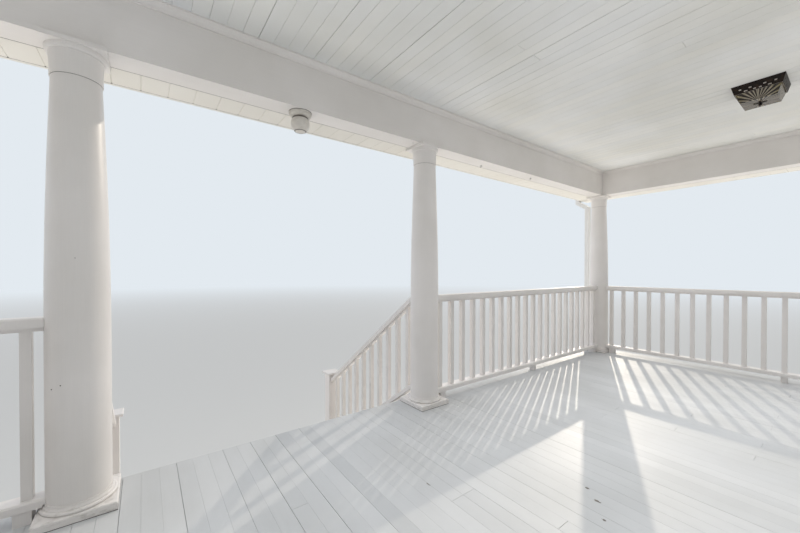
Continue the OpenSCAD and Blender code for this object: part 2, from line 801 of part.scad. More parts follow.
// Tapered glass dish, its rim inside the band, with a hole for the rod
module ceiling_light_glasses() color(glass_grey) placed() light_pair()
  mirror([0, 0, 1]) translate([0, 0, light_band - glass_lap]) difference() {
    wide = light_mid_w - 2 * light_sheet - 2 * fit;
    deep = light_glass + glass_lap;
    square_taper(deep, wide, light_low_w);
    translate([0, 0, -bite])
      square_taper(deep + bite - glass_t, wide - 2 * glass_t, light_low_w - 2 * glass_t);
    cylinder(h = deep + bite, d = light_rod + 2 * fit, $fn = 16);
  }

// Pieces under the beam at the middle of the stair, drawn with z downwards
module under_beam() placed() translate([0, 0, beam_z]) mirror([0, 0, 1]) children();

module entry_light_canopy() color(white) under_beam() rotate_extrude() polygon(concat(
  [[0, 0], [canopy_d / 2, 0], [canopy_d / 2, canopy_rim]],
  quarter(canopy_d / 2, canopy_rim, canopy_neck, canopy_h, 0),
  [[0, canopy_h]]
));

// Part of a ball, cut flat at its neck and at its bottom
function globe_point(a) = [globe_d / 2 * cos(a), canopy_h + globe_d / 2 * (sin(a) - sin(globe_from))];
module entry_light_globe() color(glass_grey) under_beam() rotate_extrude() polygon(concat(
  [[0, canopy_h]],
  [for (i = [0 : 9]) globe_point(globe_from + i * (globe_to - globe_from) / 9)],
  [[0, globe_point(globe_to)[1]]]
));

front_piers();
rear_piers();
floor_girders();
floor_joists();
porch_floor();
apron_front();
mirror([1, 0, 0]) apron_side();  // apron_left
apron_side();  // apron_right
mirror([1, 0, 0]) skirt_front();  // skirt_front_left
skirt_front();  // skirt_front_right
mirror([1, 0, 0]) skirt_side();  // skirt_left
skirt_side();  // skirt_right
stair_stringers();
stair_treads();
stair_risers();
mirror([1, 0, 0]) newel();  // newel_left
newel();  // newel_right
mirror([1, 0, 0]) stair_rail();  // stair_rail_left
stair_rail();  // stair_rail_right
placed() translate([-corner_x, 0, 0]) column_base();  // corner_base_left
placed() translate([-corner_x, 0, 0]) column_shaft();  // corner_shaft_left
placed() translate([-corner_x, 0, 0]) column_capital();  // corner_capital_left
placed() translate([corner_x, 0, 0]) column_base();  // corner_base_right
placed() translate([corner_x, 0, 0]) column_shaft();  // corner_shaft_right
placed() translate([corner_x, 0, 0]) column_capital();  // corner_capital_right
placed() translate([-stair_x, 0, 0]) column_base();  // stair_base_left
placed() translate([-stair_x, 0, 0]) column_shaft();  // stair_shaft_left
placed() translate([-stair_x, 0, 0]) column_capital();  // stair_capital_left
placed() translate([stair_x, 0, 0]) column_base();  // stair_base_right
placed() translate([stair_x, 0, 0]) column_shaft();  // stair_shaft_right
placed() translate([stair_x, 0, 0]) column_capital();  // stair_capital_right
wall_pilasters();
mirror([1, 0, 0]) railing_front();  // railing_front_left
railing_front();  // railing_front_right
mirror([1, 0, 0]) railing_side();  // railing_left
railing_side();  // railing_right
beam_front();
mirror([1, 0, 0]) beam_side();  // beam_left
beam_side();  // beam_right
ceiling();
ceiling_trim();
ceiling_joists();
eave_front();
mirror([1, 0, 0]) eave_side();  // eave_left
eave_side();  // eave_right
gutters();
downspouts();
roof_front();
mirror([1, 0, 0]) roof_side();  // roof_left
roof_side();  // roof_right
ceiling_light_frames();
ceiling_light_glasses();
entry_light_canopy();
entry_light_globe();
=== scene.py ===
import math
import random

import bpy
import numpy as np
from mathutils import Matrix, Vector


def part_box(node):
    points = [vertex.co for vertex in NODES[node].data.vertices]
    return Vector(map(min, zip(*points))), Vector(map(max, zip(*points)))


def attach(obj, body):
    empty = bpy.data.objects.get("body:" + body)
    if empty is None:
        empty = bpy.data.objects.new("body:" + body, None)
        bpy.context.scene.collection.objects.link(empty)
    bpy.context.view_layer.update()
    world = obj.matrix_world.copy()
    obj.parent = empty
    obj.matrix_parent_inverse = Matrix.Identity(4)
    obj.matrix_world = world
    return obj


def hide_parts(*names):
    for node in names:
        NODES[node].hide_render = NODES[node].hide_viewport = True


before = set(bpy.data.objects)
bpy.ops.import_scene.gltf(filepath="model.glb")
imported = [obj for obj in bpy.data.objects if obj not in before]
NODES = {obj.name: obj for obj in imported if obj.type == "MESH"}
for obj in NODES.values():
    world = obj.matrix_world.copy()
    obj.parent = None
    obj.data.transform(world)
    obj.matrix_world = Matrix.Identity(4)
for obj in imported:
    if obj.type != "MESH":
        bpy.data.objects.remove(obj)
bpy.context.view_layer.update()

MM = 0.001
BODY = "root"
SIDES = ("left", "right")
X, Y, Z = 0, 1, 2

# Camera: solved from the photograph, in metres and degrees, for an image of 800 by 533
IMAGE_W = 800
EYE = Vector((0.8333, 1.4459, 2.4366))
FOCAL_PX = 343.46
SENSOR = 36
YAW, PITCH, ROLL = 53.352, -0.529, 0.05
SHIFT_PX = 7.1
VIEW_NEAR, VIEW_FAR = 0.02, 500

# Light: a low autumn sun, a sky in parts, and soft lamps in watts a square metre that stand for light
# thrown back by the ground, the porch floor and its ceiling. More of it comes off the floor's sunny
# end, which reaches to SUNNY_EDGE. A part of the sky has a heading, the cosine to it at which it
# starts and is full, its colour and its strength.
SUN_HEADING = Vector((0.906, 0.423))
SUN_HEIGHT = 22.3
SUN = ("#FFF3E2", 1.0)
SUN_BLUR = 0.53
SKY_EVEN = ("#F4F8FF", 0.17)
SKY_PARTS = (
    ((0, -1, 0), -0.15, 0.15, "#F5F7FF", 0.52),
    ((0.6, -0.8, 0), 0.3, 1.0, "#F2F7FF", 0.5),
    ((-0.906, -0.423, 0), 0.2, 1.0, "#FFFDF8", 0.9),
    ((0, 1, 0), 0.0, 1.0, "#FFFFFF", 0.16),
)
GROUND_LIFT = ("#FFF7EA", 3.1)
SUNNY_CEILING_LIFT = ("#FFF1E2", 0.34)
SHADY_CEILING_LIFT = ("#F8FAFF", 0.60)
SUNNY_EDGE = -0.3
SUNNY_FLOOR_LIFT = ("#FAFBFF", 1.5)
SHADY_FLOOR_LIFT = ("#FAFBFF", 0.95)
GROUND_SPREAD = 108
SOFT_SPREAD = 75
GROUND_REACH = 20
ROOM_LOW, ROOM_HIGH = (-4.1, -0.55), (4.1, 2.7)
LAMP_LIFT, CEILING_DROP = 0.02, 0.16
BACKDROP = "#E3EAF0"
STAGE_SIZE, FADE_START, FADE_END = 400, 9.0, 60.0

# Settings of nodes that mix colours or work out numbers
DARKEN = {"blend_type": "MULTIPLY"}
TIMES = {"operation": "MULTIPLY"}
MINUS = {"operation": "SUBTRACT"}
UNSIGNED = {"operation": "ABSOLUTE"}
ANGLE_OF = {"operation": "ARCTAN2"}
LARGER = {"operation": "MAXIMUM"}


# Shader helpers
def linear(colour):
    """An sRGB hex colour as the linear values that a socket takes."""
    parts = [int(colour[i:i + 2], 16) / 255 for i in (1, 3, 5)]
    return [p / 12.92 if p <= 0.04045 else ((p + 0.055) / 1.055) ** 2.4 for p in parts] + [1]


def add(tree, kind, settings=None, **sockets):
    """Adds a node, with its settings, and gives each named or numbered socket a value or a link. A hex
    colour turns linear, and a node given as a value stands for its first output."""
    made = tree.nodes.new("ShaderNode" + kind)
    for name, value in (settings or {}).items():
        setattr(made, name, value)
    for name, value in sockets.items():
        key = int(name[1:]) if name[0] == "n" and name[1:].isdigit() else name.replace("_", " ")
        if isinstance(value, bpy.types.Node):
            value = value.outputs[0]
        if isinstance(value, bpy.types.NodeSocket):
            tree.links.new(value, made.inputs[key])
        else:
            made.inputs[key].default_value = linear(value) if isinstance(value, str) else value
    return made


def start_material(name):
    """An empty material, and the tree its nodes go into."""
    made = bpy.data.materials.new(name)
    made.use_nodes = True
    made.node_tree.nodes.clear()
    return made, made.node_tree


def end_material(made, colour, rough, relief=None, edge=0, **sockets):
    """Ends a material with one Principled shader. Rough is a roughness or (pattern, least, most), and
    relief is (pattern, strength, depth in mm). Edge, in mm, rounds the edges that catch the light."""
    tree = made.node_tree
    if isinstance(rough, tuple):
        rough = add(tree, "MapRange", Value=rough[0], To_Min=rough[1], To_Max=rough[2])
    if relief:
        eased = {"Normal": add(tree, "Bevel", {"samples": 4}, Radius=edge * MM)} if edge else {}
        height, strength, depth = relief
        sockets["Normal"] = add(tree, "Bump", Height=height, Strength=strength, Distance=depth * MM, **eased)
    shader = add(tree, "BsdfPrincipled", Base_Color=colour, Roughness=rough, **sockets)
    add(tree, "OutputMaterial", Surface=shader)
    return made


def grains(tree, sizes):
    """Sockets for a pattern on Object coordinates that has one grain in each of these lengths, in
    metres along X, Y and Z."""
    spot = add(tree, "TexCoord").outputs["Object"]
    return {"Vector": add(tree, "Mapping", Vector=spot, Scale=[1 / s for s in sizes]), "Scale": 1.0}


def long_grains(tree, along, length, width):
    """Grains that are long along one axis and narrow across the two others."""
    return grains(tree, [length if axis == along else width for axis in range(3)])


def two_tone(tree, factor, first, second, low=0.35, high=0.65):
    """Turns a pattern from 0 to 1 into a mix of two colours, with its middle stretched."""
    even = add(tree, "MapRange", Value=factor, From_Min=low, From_Max=high)
    return add(tree, "MixRGB", Fac=even, Color1=first, Color2=second)


def own_shade(tree, first, second):
    """Gives each board, brick or tab a shade of its own between two colours, by its tone."""
    tone = add(tree, "Attribute", {"attribute_name": "tone"}).outputs["Fac"]
    return add(tree, "MixRGB", Fac=tone, Color1=first, Color2=second)


def seen_straight(tree):
    """1 for what the eye, a reflection or glass shows, and 0 for light that only falls on something."""
    paths = add(tree, "LightPath").outputs
    either = add(tree, "Math", LARGER, n0=paths["Is Camera Ray"], n1=paths["Is Glossy Ray"])
    return add(tree, "Math", LARGER, n0=either, n1=paths["Is Transmission Ray"])


# Materials. Grain sizes are real ones in metres, unless a comment says that they are drawn coarser
SCUFF_H, SCUFF_SHOW = 0.09, 0.55


def trim_paint(name, along, stands_on=None, rough=0.4):
    """Satin alkyd paint, brushed on planed pine: a soft sheen, faint brush lines along the board,
    edges that catch the light, and grey scuffs low down where it stands on something."""
    made, tree = start_material(name)
    broad = add(tree, "TexNoise", **grains(tree, [0.5] * 3), Detail=3.0)
    brush = add(tree, "TexNoise", **long_grains(tree, along, 0.25, 0.004), Detail=2.0)
    colour = two_tone(tree, broad, "#F0ECE9", "#E8E4E0")
    colour = add(tree, "MixRGB", DARKEN, Fac=0.05, Color1=colour, Color2=brush)
    if stands_on is not None:
        height = add(tree, "SeparateXYZ", Vector=add(tree, "TexCoord").outputs["Object"]).outputs["Z"]
        low = add(tree, "MapRange", Value=height, From_Min=stands_on, From_Max=stands_on + SCUFF_H,
                  To_Min=1.0, To_Max=0.0)
        speck = add(tree, "TexNoise", **grains(tree, [0.03, 0.03, 0.012]), Detail=5.0)
        worn = add(tree, "MapRange", Value=speck, From_Min=0.5, From_Max=0.72)
        mask = add(tree, "Math", TIMES, n0=add(tree, "Math", TIMES, n0=worn, n1=low), n1=SCUFF_SHOW)
        colour = add(tree, "MixRGB", Fac=mask, Color1=colour, Color2="#9C968C")
    return end_material(made, colour, (broad, rough - 0.06, rough + 0.08), (brush, 0.12, 0.3), 1.6,
                        Coat_Weight=0.12, Coat_Roughness=0.25)


def floor_paint():
    """Porch enamel rolled on fir boards: light grey with a low sheen, each board a little lighter or
    darker than the next, long grain under the paint, and rubbed patches where people walk."""
    made, tree = start_material("floor_enamel_on_fir")
    grain = add(tree, "TexNoise", **grains(tree, [0.006, 0.35, 0.006]), Detail=4.0)
    patch = add(tree, "TexNoise", **grains(tree, [0.45, 0.7, 1.0]), Detail=5.0)
    rubbed = add(tree, "TexNoise", **grains(tree, [0.04, 0.22, 1.0]), Detail=6.0)
    colour = own_shade(tree, "#B9BCBE", "#CFD1D2")
    cloud = two_tone(tree, patch, "#FFFFFF", "#F3F3F2")
    colour = add(tree, "MixRGB", DARKEN, Fac=1.0, Color1=colour, Color2=cloud)
    scuff = add(tree, "MapRange", Value=rubbed, From_Min=0.6, From_Max=0.8, To_Max=0.1)
    colour = add(tree, "MixRGB", Fac=scuff, Color1=colour, Color2="#A9A9A6")
    colour = add(tree, "MixRGB", DARKEN, Fac=0.04, Color1=colour, Color2=grain)
    return end_material(made, colour, (patch, 0.42, 0.58), (grain, 0.25, 0.4))


def ceiling_paint():
    """Flat latex on square-edged fir boards: pale and chalky, hardly any sheen, with faint grain and
    boards that differ by a shade."""
    made, tree = start_material("ceiling_latex_on_fir")
    grain = add(tree, "TexNoise", **grains(tree, [0.005, 0.3, 0.005]), Detail=3.0)
    cloud = add(tree, "TexNoise", **grains(tree, [0.8] * 3), Detail=3.0)
    stain = two_tone(tree, cloud, "#FFFFFF", "#F3F2EE")
    boards = own_shade(tree, "#E7E9EA", "#EBECEB")
    colour = add(tree, "MixRGB", DARKEN, Fac=1.0, Color1=boards, Color2=stain)
    return end_material(made, colour, 0.62, (grain, 0.15, 0.3))


def eave_vinyl(name, along, first="#EDEAE3", second="#E7E3DB"):
    """Extruded vinyl with an embossed wood grain: cream, satin, with a shallow long grain."""
    made, tree = start_material(name)
    grain = add(tree, "TexNoise", **long_grains(tree, along, 0.12, 0.004), Detail=3.0)
    cloud = add(tree, "TexNoise", **grains(tree, [0.6] * 3), Detail=4.0)
    return end_material(made, two_tone(tree, cloud, first, second), 0.45, (grain, 0.3, 0.4))


def gutter_enamel():
    """White enamel baked on roll-formed aluminium: smooth and glossy, slightly wavy, with thin grey
    streaks where rain has run down."""
    made, tree = start_material("gutter_enamel_on_aluminium")
    streak = add(tree, "TexNoise", **grains(tree, [0.02, 0.02, 0.5]), Detail=4.0)
    wave = add(tree, "TexNoise", **grains(tree, [0.15] * 3), Detail=1.0)
    colour = two_tone(tree, streak, "#ECECEA", "#D9D8D2", 0.5, 0.75)
    return end_material(made, colour, (streak, 0.25, 0.42), (wave, 0.2, 0.6),
                        Coat_Weight=0.2, Coat_Roughness=0.15)


def fired_brick():
    """Moulded clay brick, fired unevenly: matt, sandy, from rust red to brown, with darker kiln
    marks and pits of a few millimetres."""
    made, tree = start_material("fired_clay_brick")
    grit = add(tree, "TexNoise", **grains(tree, [0.004] * 3), Detail=5.0)
    mark = add(tree, "TexNoise", **grains(tree, [0.09, 0.09, 0.05]), Detail=5.0)
    dark = add(tree, "MapRange", Value=mark, From_Min=0.5, From_Max=0.75, To_Max=0.6)
    colour = add(tree, "MixRGB", Fac=dark, Color1=own_shade(tree, "#7C4032", "#B06A50"), Color2="#5B3229")
    sand = two_tone(tree, grit, "#FFFFFF", "#C9BBAF")
    colour = add(tree, "MixRGB", DARKEN, Fac=0.8, Color1=colour, Color2=sand)
    return end_material(made, colour, 0.9, (grit, 0.6, 1.2))


def lime_mortar():
    """Struck lime mortar: matt and sandy, mottled from pale grey-buff to a darker grey."""
    made, tree = start_material("struck_lime_mortar")
    sand = add(tree, "TexNoise", **grains(tree, [0.003] * 3), Detail=4.0)
    return end_material(made, two_tone(tree, sand, "#B5AC9E", "#968D80"), 0.95, (sand, 0.6, 0.8))


def sawn_pine(name, along, first="#B8A58A", second="#94826A"):
    """Sawn pine left bare: grey-tan from age with long darker rings, dry and rough from the saw."""
    made, tree = start_material(name)
    ring = add(tree, "TexNoise", **long_grains(tree, along, 1.1, 0.016), Detail=4.0, Distortion=0.6)
    saw = add(tree, "TexNoise", **long_grains(tree, along, 0.006, 0.03), Detail=2.0)
    return end_material(made, two_tone(tree, ring, first, second), 0.8, (saw, 0.3, 0.5))


def asphalt_shingle():
    """Fibreglass shingle faced with crushed stone: matt weathered grey, each tab its own shade, with
    stone grains drawn at 6 mm so that they show."""
    made, tree = start_material("stone_faced_asphalt_shingle")
    stone = add(tree, "TexVoronoi", **grains(tree, [0.006] * 3))
    cloud = add(tree, "TexNoise", **grains(tree, [0.5] * 3), Detail=4.0)
    shade = add(tree, "RGBToBW", Color=stone.outputs["Color"])
    speck = two_tone(tree, shade, "#A8A8A8", "#FFFFFF", 0.2, 0.8)
    colour = own_shade(tree, "#656463", "#8C8A86")
    colour = add(tree, "MixRGB", DARKEN, Fac=0.8, Color1=colour, Color2=speck)
    weather = two_tone(tree, cloud, "#FFFFFF", "#ECECE8", 0.3, 0.8)
    colour = add(tree, "MixRGB", DARKEN, Fac=1.0, Color1=colour, Color2=weather)
    return end_material(made, colour, 0.95, (stone, 0.5, 1.0))


def oiled_bronze(name="oiled_bronze", first="#1B1512", second="#3B2C22"):
    """Pressed steel with an oil-rubbed bronze finish: nearly black, with brown showing where it is
    handled, and a soft metal sheen."""
    made, tree = start_material(name)
    rub = add(tree, "TexNoise", **grains(tree, [0.02] * 3), Detail=5.0)
    colour = two_tone(tree, rub, first, second, 0.45, 0.75)
    return end_material(made, colour, (rub, 0.35, 0.6), (rub, 0.2, 0.3), 0.8, Metallic=0.6)


RIB_FAN = 0.012
BOTTOM_REACH = 0.0145
RIB_TURNS = 26.0


def ribbed_glass(centre, foot):
    """Pressed soda glass with ribs that fan out, on its sides from a point RIB_FAN under the bottom:
    a painted highlight on the ribs, painted shade of dark brown in the valleys where the dark inside
    shows, and yellow-green towards the corners."""
    made, tree = start_material("pressed_ribbed_glass")
    spot = add(tree, "TexCoord").outputs["Object"]
    place = add(tree, "SeparateXYZ", Vector=add(tree, "VectorMath", UNSIGNED, n0=spot)).outputs
    out_x, out_y = (add(tree, "Math", UNSIGNED, n0=add(tree, "Math", MINUS, n0=place[axis], n1=at))
                    for axis, at in (("X", centre.x), ("Y", centre.y)))
    along = add(tree, "Math", {"operation": "MINIMUM"}, n0=out_x, n1=out_y)
    rise = add(tree, "Math", MINUS, n0=place["Z"], n1=foot - RIB_FAN)
    side = add(tree, "Math", ANGLE_OF, n0=along, n1=rise)
    under = add(tree, "Math", ANGLE_OF, n0=out_x, n1=out_y)
    low = add(tree, "Math", {"operation": "LESS_THAN"}, n0=rise, n1=BOTTOM_REACH)
    angle = add(tree, "MixRGB", Fac=low, Color1=side, Color2=under)
    wave = add(tree, "Math", {"operation": "SINE"}, n0=add(tree, "Math", TIMES, n0=angle, n1=RIB_TURNS))
    # Painted highlight on each rib, painted shade in each valley
    rib = add(tree, "MapRange", Value=wave, From_Min=-0.3, From_Max=1.0)
    corner = add(tree, "MapRange", Value=along, From_Min=0.05, From_Max=0.11, To_Max=0.8)
    painted_rib_highlight = add(tree, "MixRGB", Fac=corner, Color1="#BDB29F", Color2="#8A7E4E")
    colour = add(tree, "MixRGB", Fac=rib, Color1="#2A2118", Color2=painted_rib_highlight)
    dust = add(tree, "TexNoise", **grains(tree, [0.05] * 3), Detail=5.0)
    return end_material(made, colour, (dust, 0.08, 0.35), Transmission_Weight=0.25, IOR=1.5)


def frosted_glass():
    """Blown glass, acid frosted inside: milky white with faint grey clouds and a satin skin."""
    made, tree = start_material("frosted_blown_glass")
    cloud = add(tree, "TexNoise", **grains(tree, [0.03] * 3), Detail=3.0)
    colour = two_tone(tree, cloud, "#DBD5CD", "#E8E3DB")
    return end_material(made, colour, (cloud, 0.25, 0.4), Transmission_Weight=0.1, IOR=1.5)


def dusty_coat(name, first, second):
    """A thin smooth skin, satin and a little dusty, in clouds of two close colours. Sprayed enamel on
    spun steel looks like this, and so do the rubber gaskets, grey partly as painted shade, the dark lines
    of dirt and painted shade in open joints and gaps, and the bare wood of the smallest pieces, each in its
    own colours."""
    made, tree = start_material(name)
    dust = add(tree, "TexNoise", **grains(tree, [0.03] * 3), Detail=4.0)
    return end_material(made, two_tone(tree, dust, first, second), 0.35, (dust, 0.1, 0.2))


floor_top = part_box("porch_floor")[1].z
white_x, white_y, white_z = (trim_paint("brushed_trim_paint_long_" + "xyz"[axis], axis) for axis in (X, Y, Z))
white_foot = trim_paint("brushed_trim_paint_scuffed_foot", Z, stands_on=floor_top, rough=0.36)
white_ground = trim_paint("brushed_trim_paint_ground_scuffed", Z, stands_on=0.0, rough=0.42)
grey_floor = floor_paint()
pale_ceiling = ceiling_paint()
vinyl_x, vinyl_y = (eave_vinyl("embossed_soffit_vinyl_long_" + "xy"[axis], axis) for axis in (X, Y))
fascia_x, fascia_y = (eave_vinyl("embossed_fascia_vinyl_long_" + "xy"[axis], axis, "#ECEAE4", "#E6E3DB")
                      for axis in (X, Y))
white_gutter = gutter_enamel()
red_brick = fired_brick()
mortar = lime_mortar()
pine_x, pine_y = (sawn_pine("sawn_pine_long_" + "xy"[axis], axis) for axis in (X, Y))
deck_pine = sawn_pine("weathered_roof_boards", X, "#A39585", "#7F7263")
shingle_grey = asphalt_shingle()
bronze = oiled_bronze()
dark_iron = oiled_bronze("blackened_steel_hardware", "#2B2825", "#4A443C")
milk_glass = frosted_glass()
white_lamp = dusty_coat("lamp_enamel", "#DAD6CE", "#C4BEB4")
# Grey rings of the entry light: rubber gaskets, drawn darker as painted shade of the lamp's bands
gasket_grey_and_shade = dusty_coat("grey_rubber_gasket_and_painted_shade", "#77706A", "#615B55")
# Dark coat for open joints and for lines of painted shadow: under the canopy, round the plinths and in the
# soffit's slots
joint_shade_and_dirt = dusty_coat("painted_shade_and_dirt_in_an_open_joint", "#4D4741", "#3A3530")
white_liner = dusty_coat("pressed_steel_reflector", "#D8CFC6", "#C6BCB1")
chipped_paint = dusty_coat("bare_weathered_wood_in_a_paint_chip", "#7D776C", "#5F5A51")


def both(*kinds):
    """The names of the left and the right node of each kind."""
    return [kind + "_" + side for kind in kinds for side in SIDES]


NODE_FINISHES = {
    pine_x: ["floor_joists", "ceiling_joists"],
    pine_y: ["floor_girders"],
    white_x: ["apron_front", "beam_front", "stair_risers", "ceiling_trim"],
    white_y: both("apron", "beam"),
    white_z: both("railing_front", "railing", "stair_rail", "skirt_front", "skirt", "corner_shaft",
                  "stair_shaft", "corner_capital", "stair_capital") + ["wall_pilasters"],
    white_foot: both("corner_base", "stair_base"),
    white_ground: both("newel") + ["stair_stringers"],
    white_gutter: ["gutters", "downspouts"],
    deck_pine: both("roof") + ["roof_front"],
    milk_glass: ["entry_light_globe"],
    white_lamp: ["entry_light_canopy"],
}
for coat, names in NODE_FINISHES.items():
    for name in names:
        for slot in NODES[name].material_slots:
            slot.material = coat


# Modelling helpers. Places closer than SAME count as one, and an edge runs along an axis when it
# covers more than EDGE_RUN of it
SAME, EDGE_RUN = 1e-5, 1e-4
SMOOTH_UNDER = 40
NOSING = 0.46


def put(name, data):
    """Links new data into the scene as an object."""
    made = bpy.data.objects.new(name, data)
    bpy.context.scene.collection.objects.link(made)
    return made


def only(*parts):
    """Selects these objects and nothing else, and makes the first one active."""
    bpy.ops.object.select_all(action="DESELECT")
    for part in parts:
        part.select_set(True)
    if parts:
        bpy.context.view_layer.objects.active = parts[0]


def leave():
    bpy.ops.object.mode_set(mode="OBJECT")


def everything():
    bpy.ops.mesh.select_all(action="SELECT")


def start_block(name, low, high):
    """Starts a piece from a cube at its size and place."""
    only()
    low, high = Vector(low), Vector(high)
    bpy.ops.mesh.primitive_cube_add(size=1, location=(low + high) / 2)
    made = bpy.context.object
    made.name = made.data.name = name
    made.scale = high - low
    bpy.ops.object.transform_apply(location=True, rotation=False, scale=True)
    return made


def pick(made, kind, test):
    """Goes into edit mode with only those edges or faces selected whose place passes the test."""
    leave()
    mesh = made.data
    bpy.context.tool_settings.mesh_select_mode = (False, kind == "EDGE", kind == "FACE")
    for group in (mesh.vertices, mesh.edges, mesh.polygons):
        group.foreach_set("select", [False] * len(group))
    if kind == "EDGE":
        for edge in mesh.edges:
            edge.select = test(*(mesh.vertices[i].co for i in edge.vertices))
    else:
        for face in mesh.polygons:
            face.select = test(face.center, face.normal)
    bpy.ops.object.mode_set(mode="EDIT")


def cut_away(made, test):
    """Deletes the faces whose middle and normal pass the test."""
    pick(made, "FACE", test)
    bpy.ops.mesh.delete(type="FACE")


def close_up():
    """Merges the doubles of the mesh in edit mode and turns its faces outwards."""
    everything()
    bpy.ops.mesh.remove_doubles(threshold=SAME)
    bpy.ops.mesh.normals_make_consistent(inside=False)


def give_wall(made, thick):
    """Makes a wall that grows inwards from a thin shell."""
    wall = made.modifiers.new("wall", "SOLIDIFY")
    wall.thickness, wall.offset = thick, -1
    bpy.ops.object.modifier_apply(modifier=wall.name)
    return made


def take(made):
    """Takes a modelled block away as a pattern to copy: its points and its faces."""
    leave()
    mesh = made.data
    points = np.array([v.co for v in mesh.vertices])
    faces = [tuple(p.vertices) for p in mesh.polygons]
    bpy.data.objects.remove(made)
    bpy.data.meshes.remove(mesh)
    return points, faces


def fitted(pattern, low, high):
    """A copy of a pattern between two corners: its eased edges keep their size, only its middle grows."""
    points, faces = pattern
    low, high = np.array(low), np.array(high)
    half = (points.max(0) - points.min(0)) / 2
    return (low + high) / 2 + points + np.sign(points) * ((high - low) / 2 - half), faces


def assemble(name, copies, material, slot, *nodes, smooth=False):
    """Joins copies, each (points, faces, tone), into one piece that stands for the CAD nodes named."""
    points, faces, tones, start = [], [], [], 0
    for spots, sides, tone in copies:
        points.append(spots)
        faces.extend([tuple(i + start for i in side) for side in sides])
        tones.extend([tone] * len(sides))
        start += len(spots)
    mesh = bpy.data.meshes.new(name)
    mesh.from_pydata(np.concatenate(points).tolist(), [], faces)
    mesh.attributes.new("tone", "FLOAT", "FACE").data.foreach_set("value", tones)
    settle(put(name, mesh), material, slot, *nodes, smooth=smooth)


def settle(made, material, slot, *nodes, smooth=False):
    """Gives a finished piece its material and its body. The slot is not used."""
    if bpy.context.object and bpy.context.object.mode == "EDIT":
        leave()
    only(made)
    if smooth:
        bpy.ops.object.shade_smooth_by_angle(angle=math.radians(SMOOTH_UNDER))
    made.data.materials.clear()
    made.data.materials.append(material)
    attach(made, BODY)
    if nodes:
        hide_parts(*nodes)


def eased_block(size, face, ease, steps=1, rounded=()):
    """A block pattern. Its edges on the top (face 1), on the underside (-1) or all of them (0) are
    eased, and the sides named in rounded, each (axis, sign), are rounded over like a nosing."""
    half = Vector(size) / 2
    made = start_block("pattern", -half, half)
    nosing = NOSING * size[Z]

    def on_side(a, b, axis, sign):
        return a[axis] * sign > half[axis] - SAME and b[axis] * sign > half[axis] - SAME

    for axis, sign in rounded:
        other = 1 - axis
        pick(made, "EDGE", lambda a, b: on_side(a, b, axis, sign) and abs(a[other] - b[other]) > EDGE_RUN)
        bpy.ops.mesh.bevel(offset=nosing, segments=6, affect="EDGES")
    pick(made, "EDGE", lambda a, b: (not face or on_side(a, b, Z, face))
         and not any(on_side(a, b, axis, sign) for axis, sign in rounded)
         and (not rounded or (a - b).length > 2 * nosing))
    bpy.ops.mesh.bevel(offset=ease, segments=steps, affect="EDGES")
    return take(made)


def turned(name, outline, centre, steps):
    """A piece turned about a vertical axis: the outline's points are (radius, height)."""
    mesh = bpy.data.meshes.new(name)
    spots = [(centre[0] + r, centre[1], centre[2] + z) for r, z in outline]
    mesh.from_pydata(spots, [(i, i + 1) for i in range(len(spots) - 1)], [])
    made = put(name, mesh)
    only(made)
    bpy.ops.object.mode_set(mode="EDIT")
    everything()
    bpy.ops.mesh.spin(steps=steps, angle=2 * math.pi, center=centre, axis=(0, 0, 1))
    close_up()
    leave()
    return made


def node_radius(name, height, centre):
    """How far a CAD node reaches from a vertical axis near one height."""
    node = NODES[name]
    spots = [node.matrix_world @ v.co for v in node.data.vertices]
    return max(math.hypot(p.x - centre[0], p.y - centre[1]) for p in spots if abs(p.z - height) < 1 * MM)


JOINT_PROUD = 0.5 * MM
JOINT_DEEP = 3 * MM


def joint_ring(name, radius, foot, height):
    """A thin dark ring that stands a little proud of a round surface."""
    near, far = radius - JOINT_DEEP, radius + JOINT_PROUD
    return turned(name, [(near, 0), (far, 0), (far, height), (near, height), (near, 0)], foot, 48)


def join(name, parts):
    """Joins finished meshes into the first one."""
    only(*parts)
    bpy.ops.object.join()
    parts[0].name = parts[0].data.name = name
    return parts[0]


# Boards. Gaps between them are in mm, and a tongue's lower and upper face are shares of the thickness
BOARD_END_GAPS = (0.4, 1.4)
TONGUE_START = 0.02
TONGUE_LOW, TONGUE_HIGH = 0.35, 0.6
plain_tongue = take(start_block("pattern", (-0.5, -0.5, -0.5), (0.5, 0.5, 0.5)))


def swapped(spot, turn):
    return (spot[1], spot[0], spot[2]) if turn else tuple(spot)


def lay_boards(low, high, width, gaps, cuts, seed, pattern, first_pattern=None, shade=None, turn=False):
    """Copies of a board side by side, each row cut to lengths, with a tongue low in each seam. Rows
    lie side by side along X and run along Y, or the other way round when turned. The board that starts
    a row may have a pattern of its own, and shade may change a board's tone."""
    draw = random.Random(seed)
    low, high = swapped(low, turn), swapped(high, turn)
    count = round((high[0] - low[0]) / width)
    pitch = (high[0] - low[0]) / count
    thick = high[2] - low[2]
    tongue_low, tongue_high = low[2] + TONGUE_LOW * thick, low[2] + TONGUE_HIGH * thick
    copies, tongues = [], []

    def lay(into, shape, tone, *corners):
        into.append((*fitted(shape, *(swapped(corner, turn) for corner in corners)), tone))

    for row in range(count):
        left = low[0] + row * pitch
        gap = 0 if row == count - 1 else draw.choice(gaps) * MM
        right = left + pitch - gap
        stops = [low[1]] + sorted(cuts(draw)) + [high[1]]
        for start, end in zip(stops, stops[1:]):
            end_gap = 0 if end == high[1] else draw.uniform(*BOARD_END_GAPS) * MM
            tone = shade(left, right, draw.random()) if shade else draw.random()
            shape = first_pattern if first_pattern and start == low[1] else pattern
            lay(copies, shape, tone, (left, start, low[2]), (right, end - end_gap, high[2]))
        if gap:
            lay(tongues, plain_tongue, 0.0, (right, low[1] + TONGUE_START, tongue_low),
                (right + gap, high[1], tongue_high))
    return copies + tongues


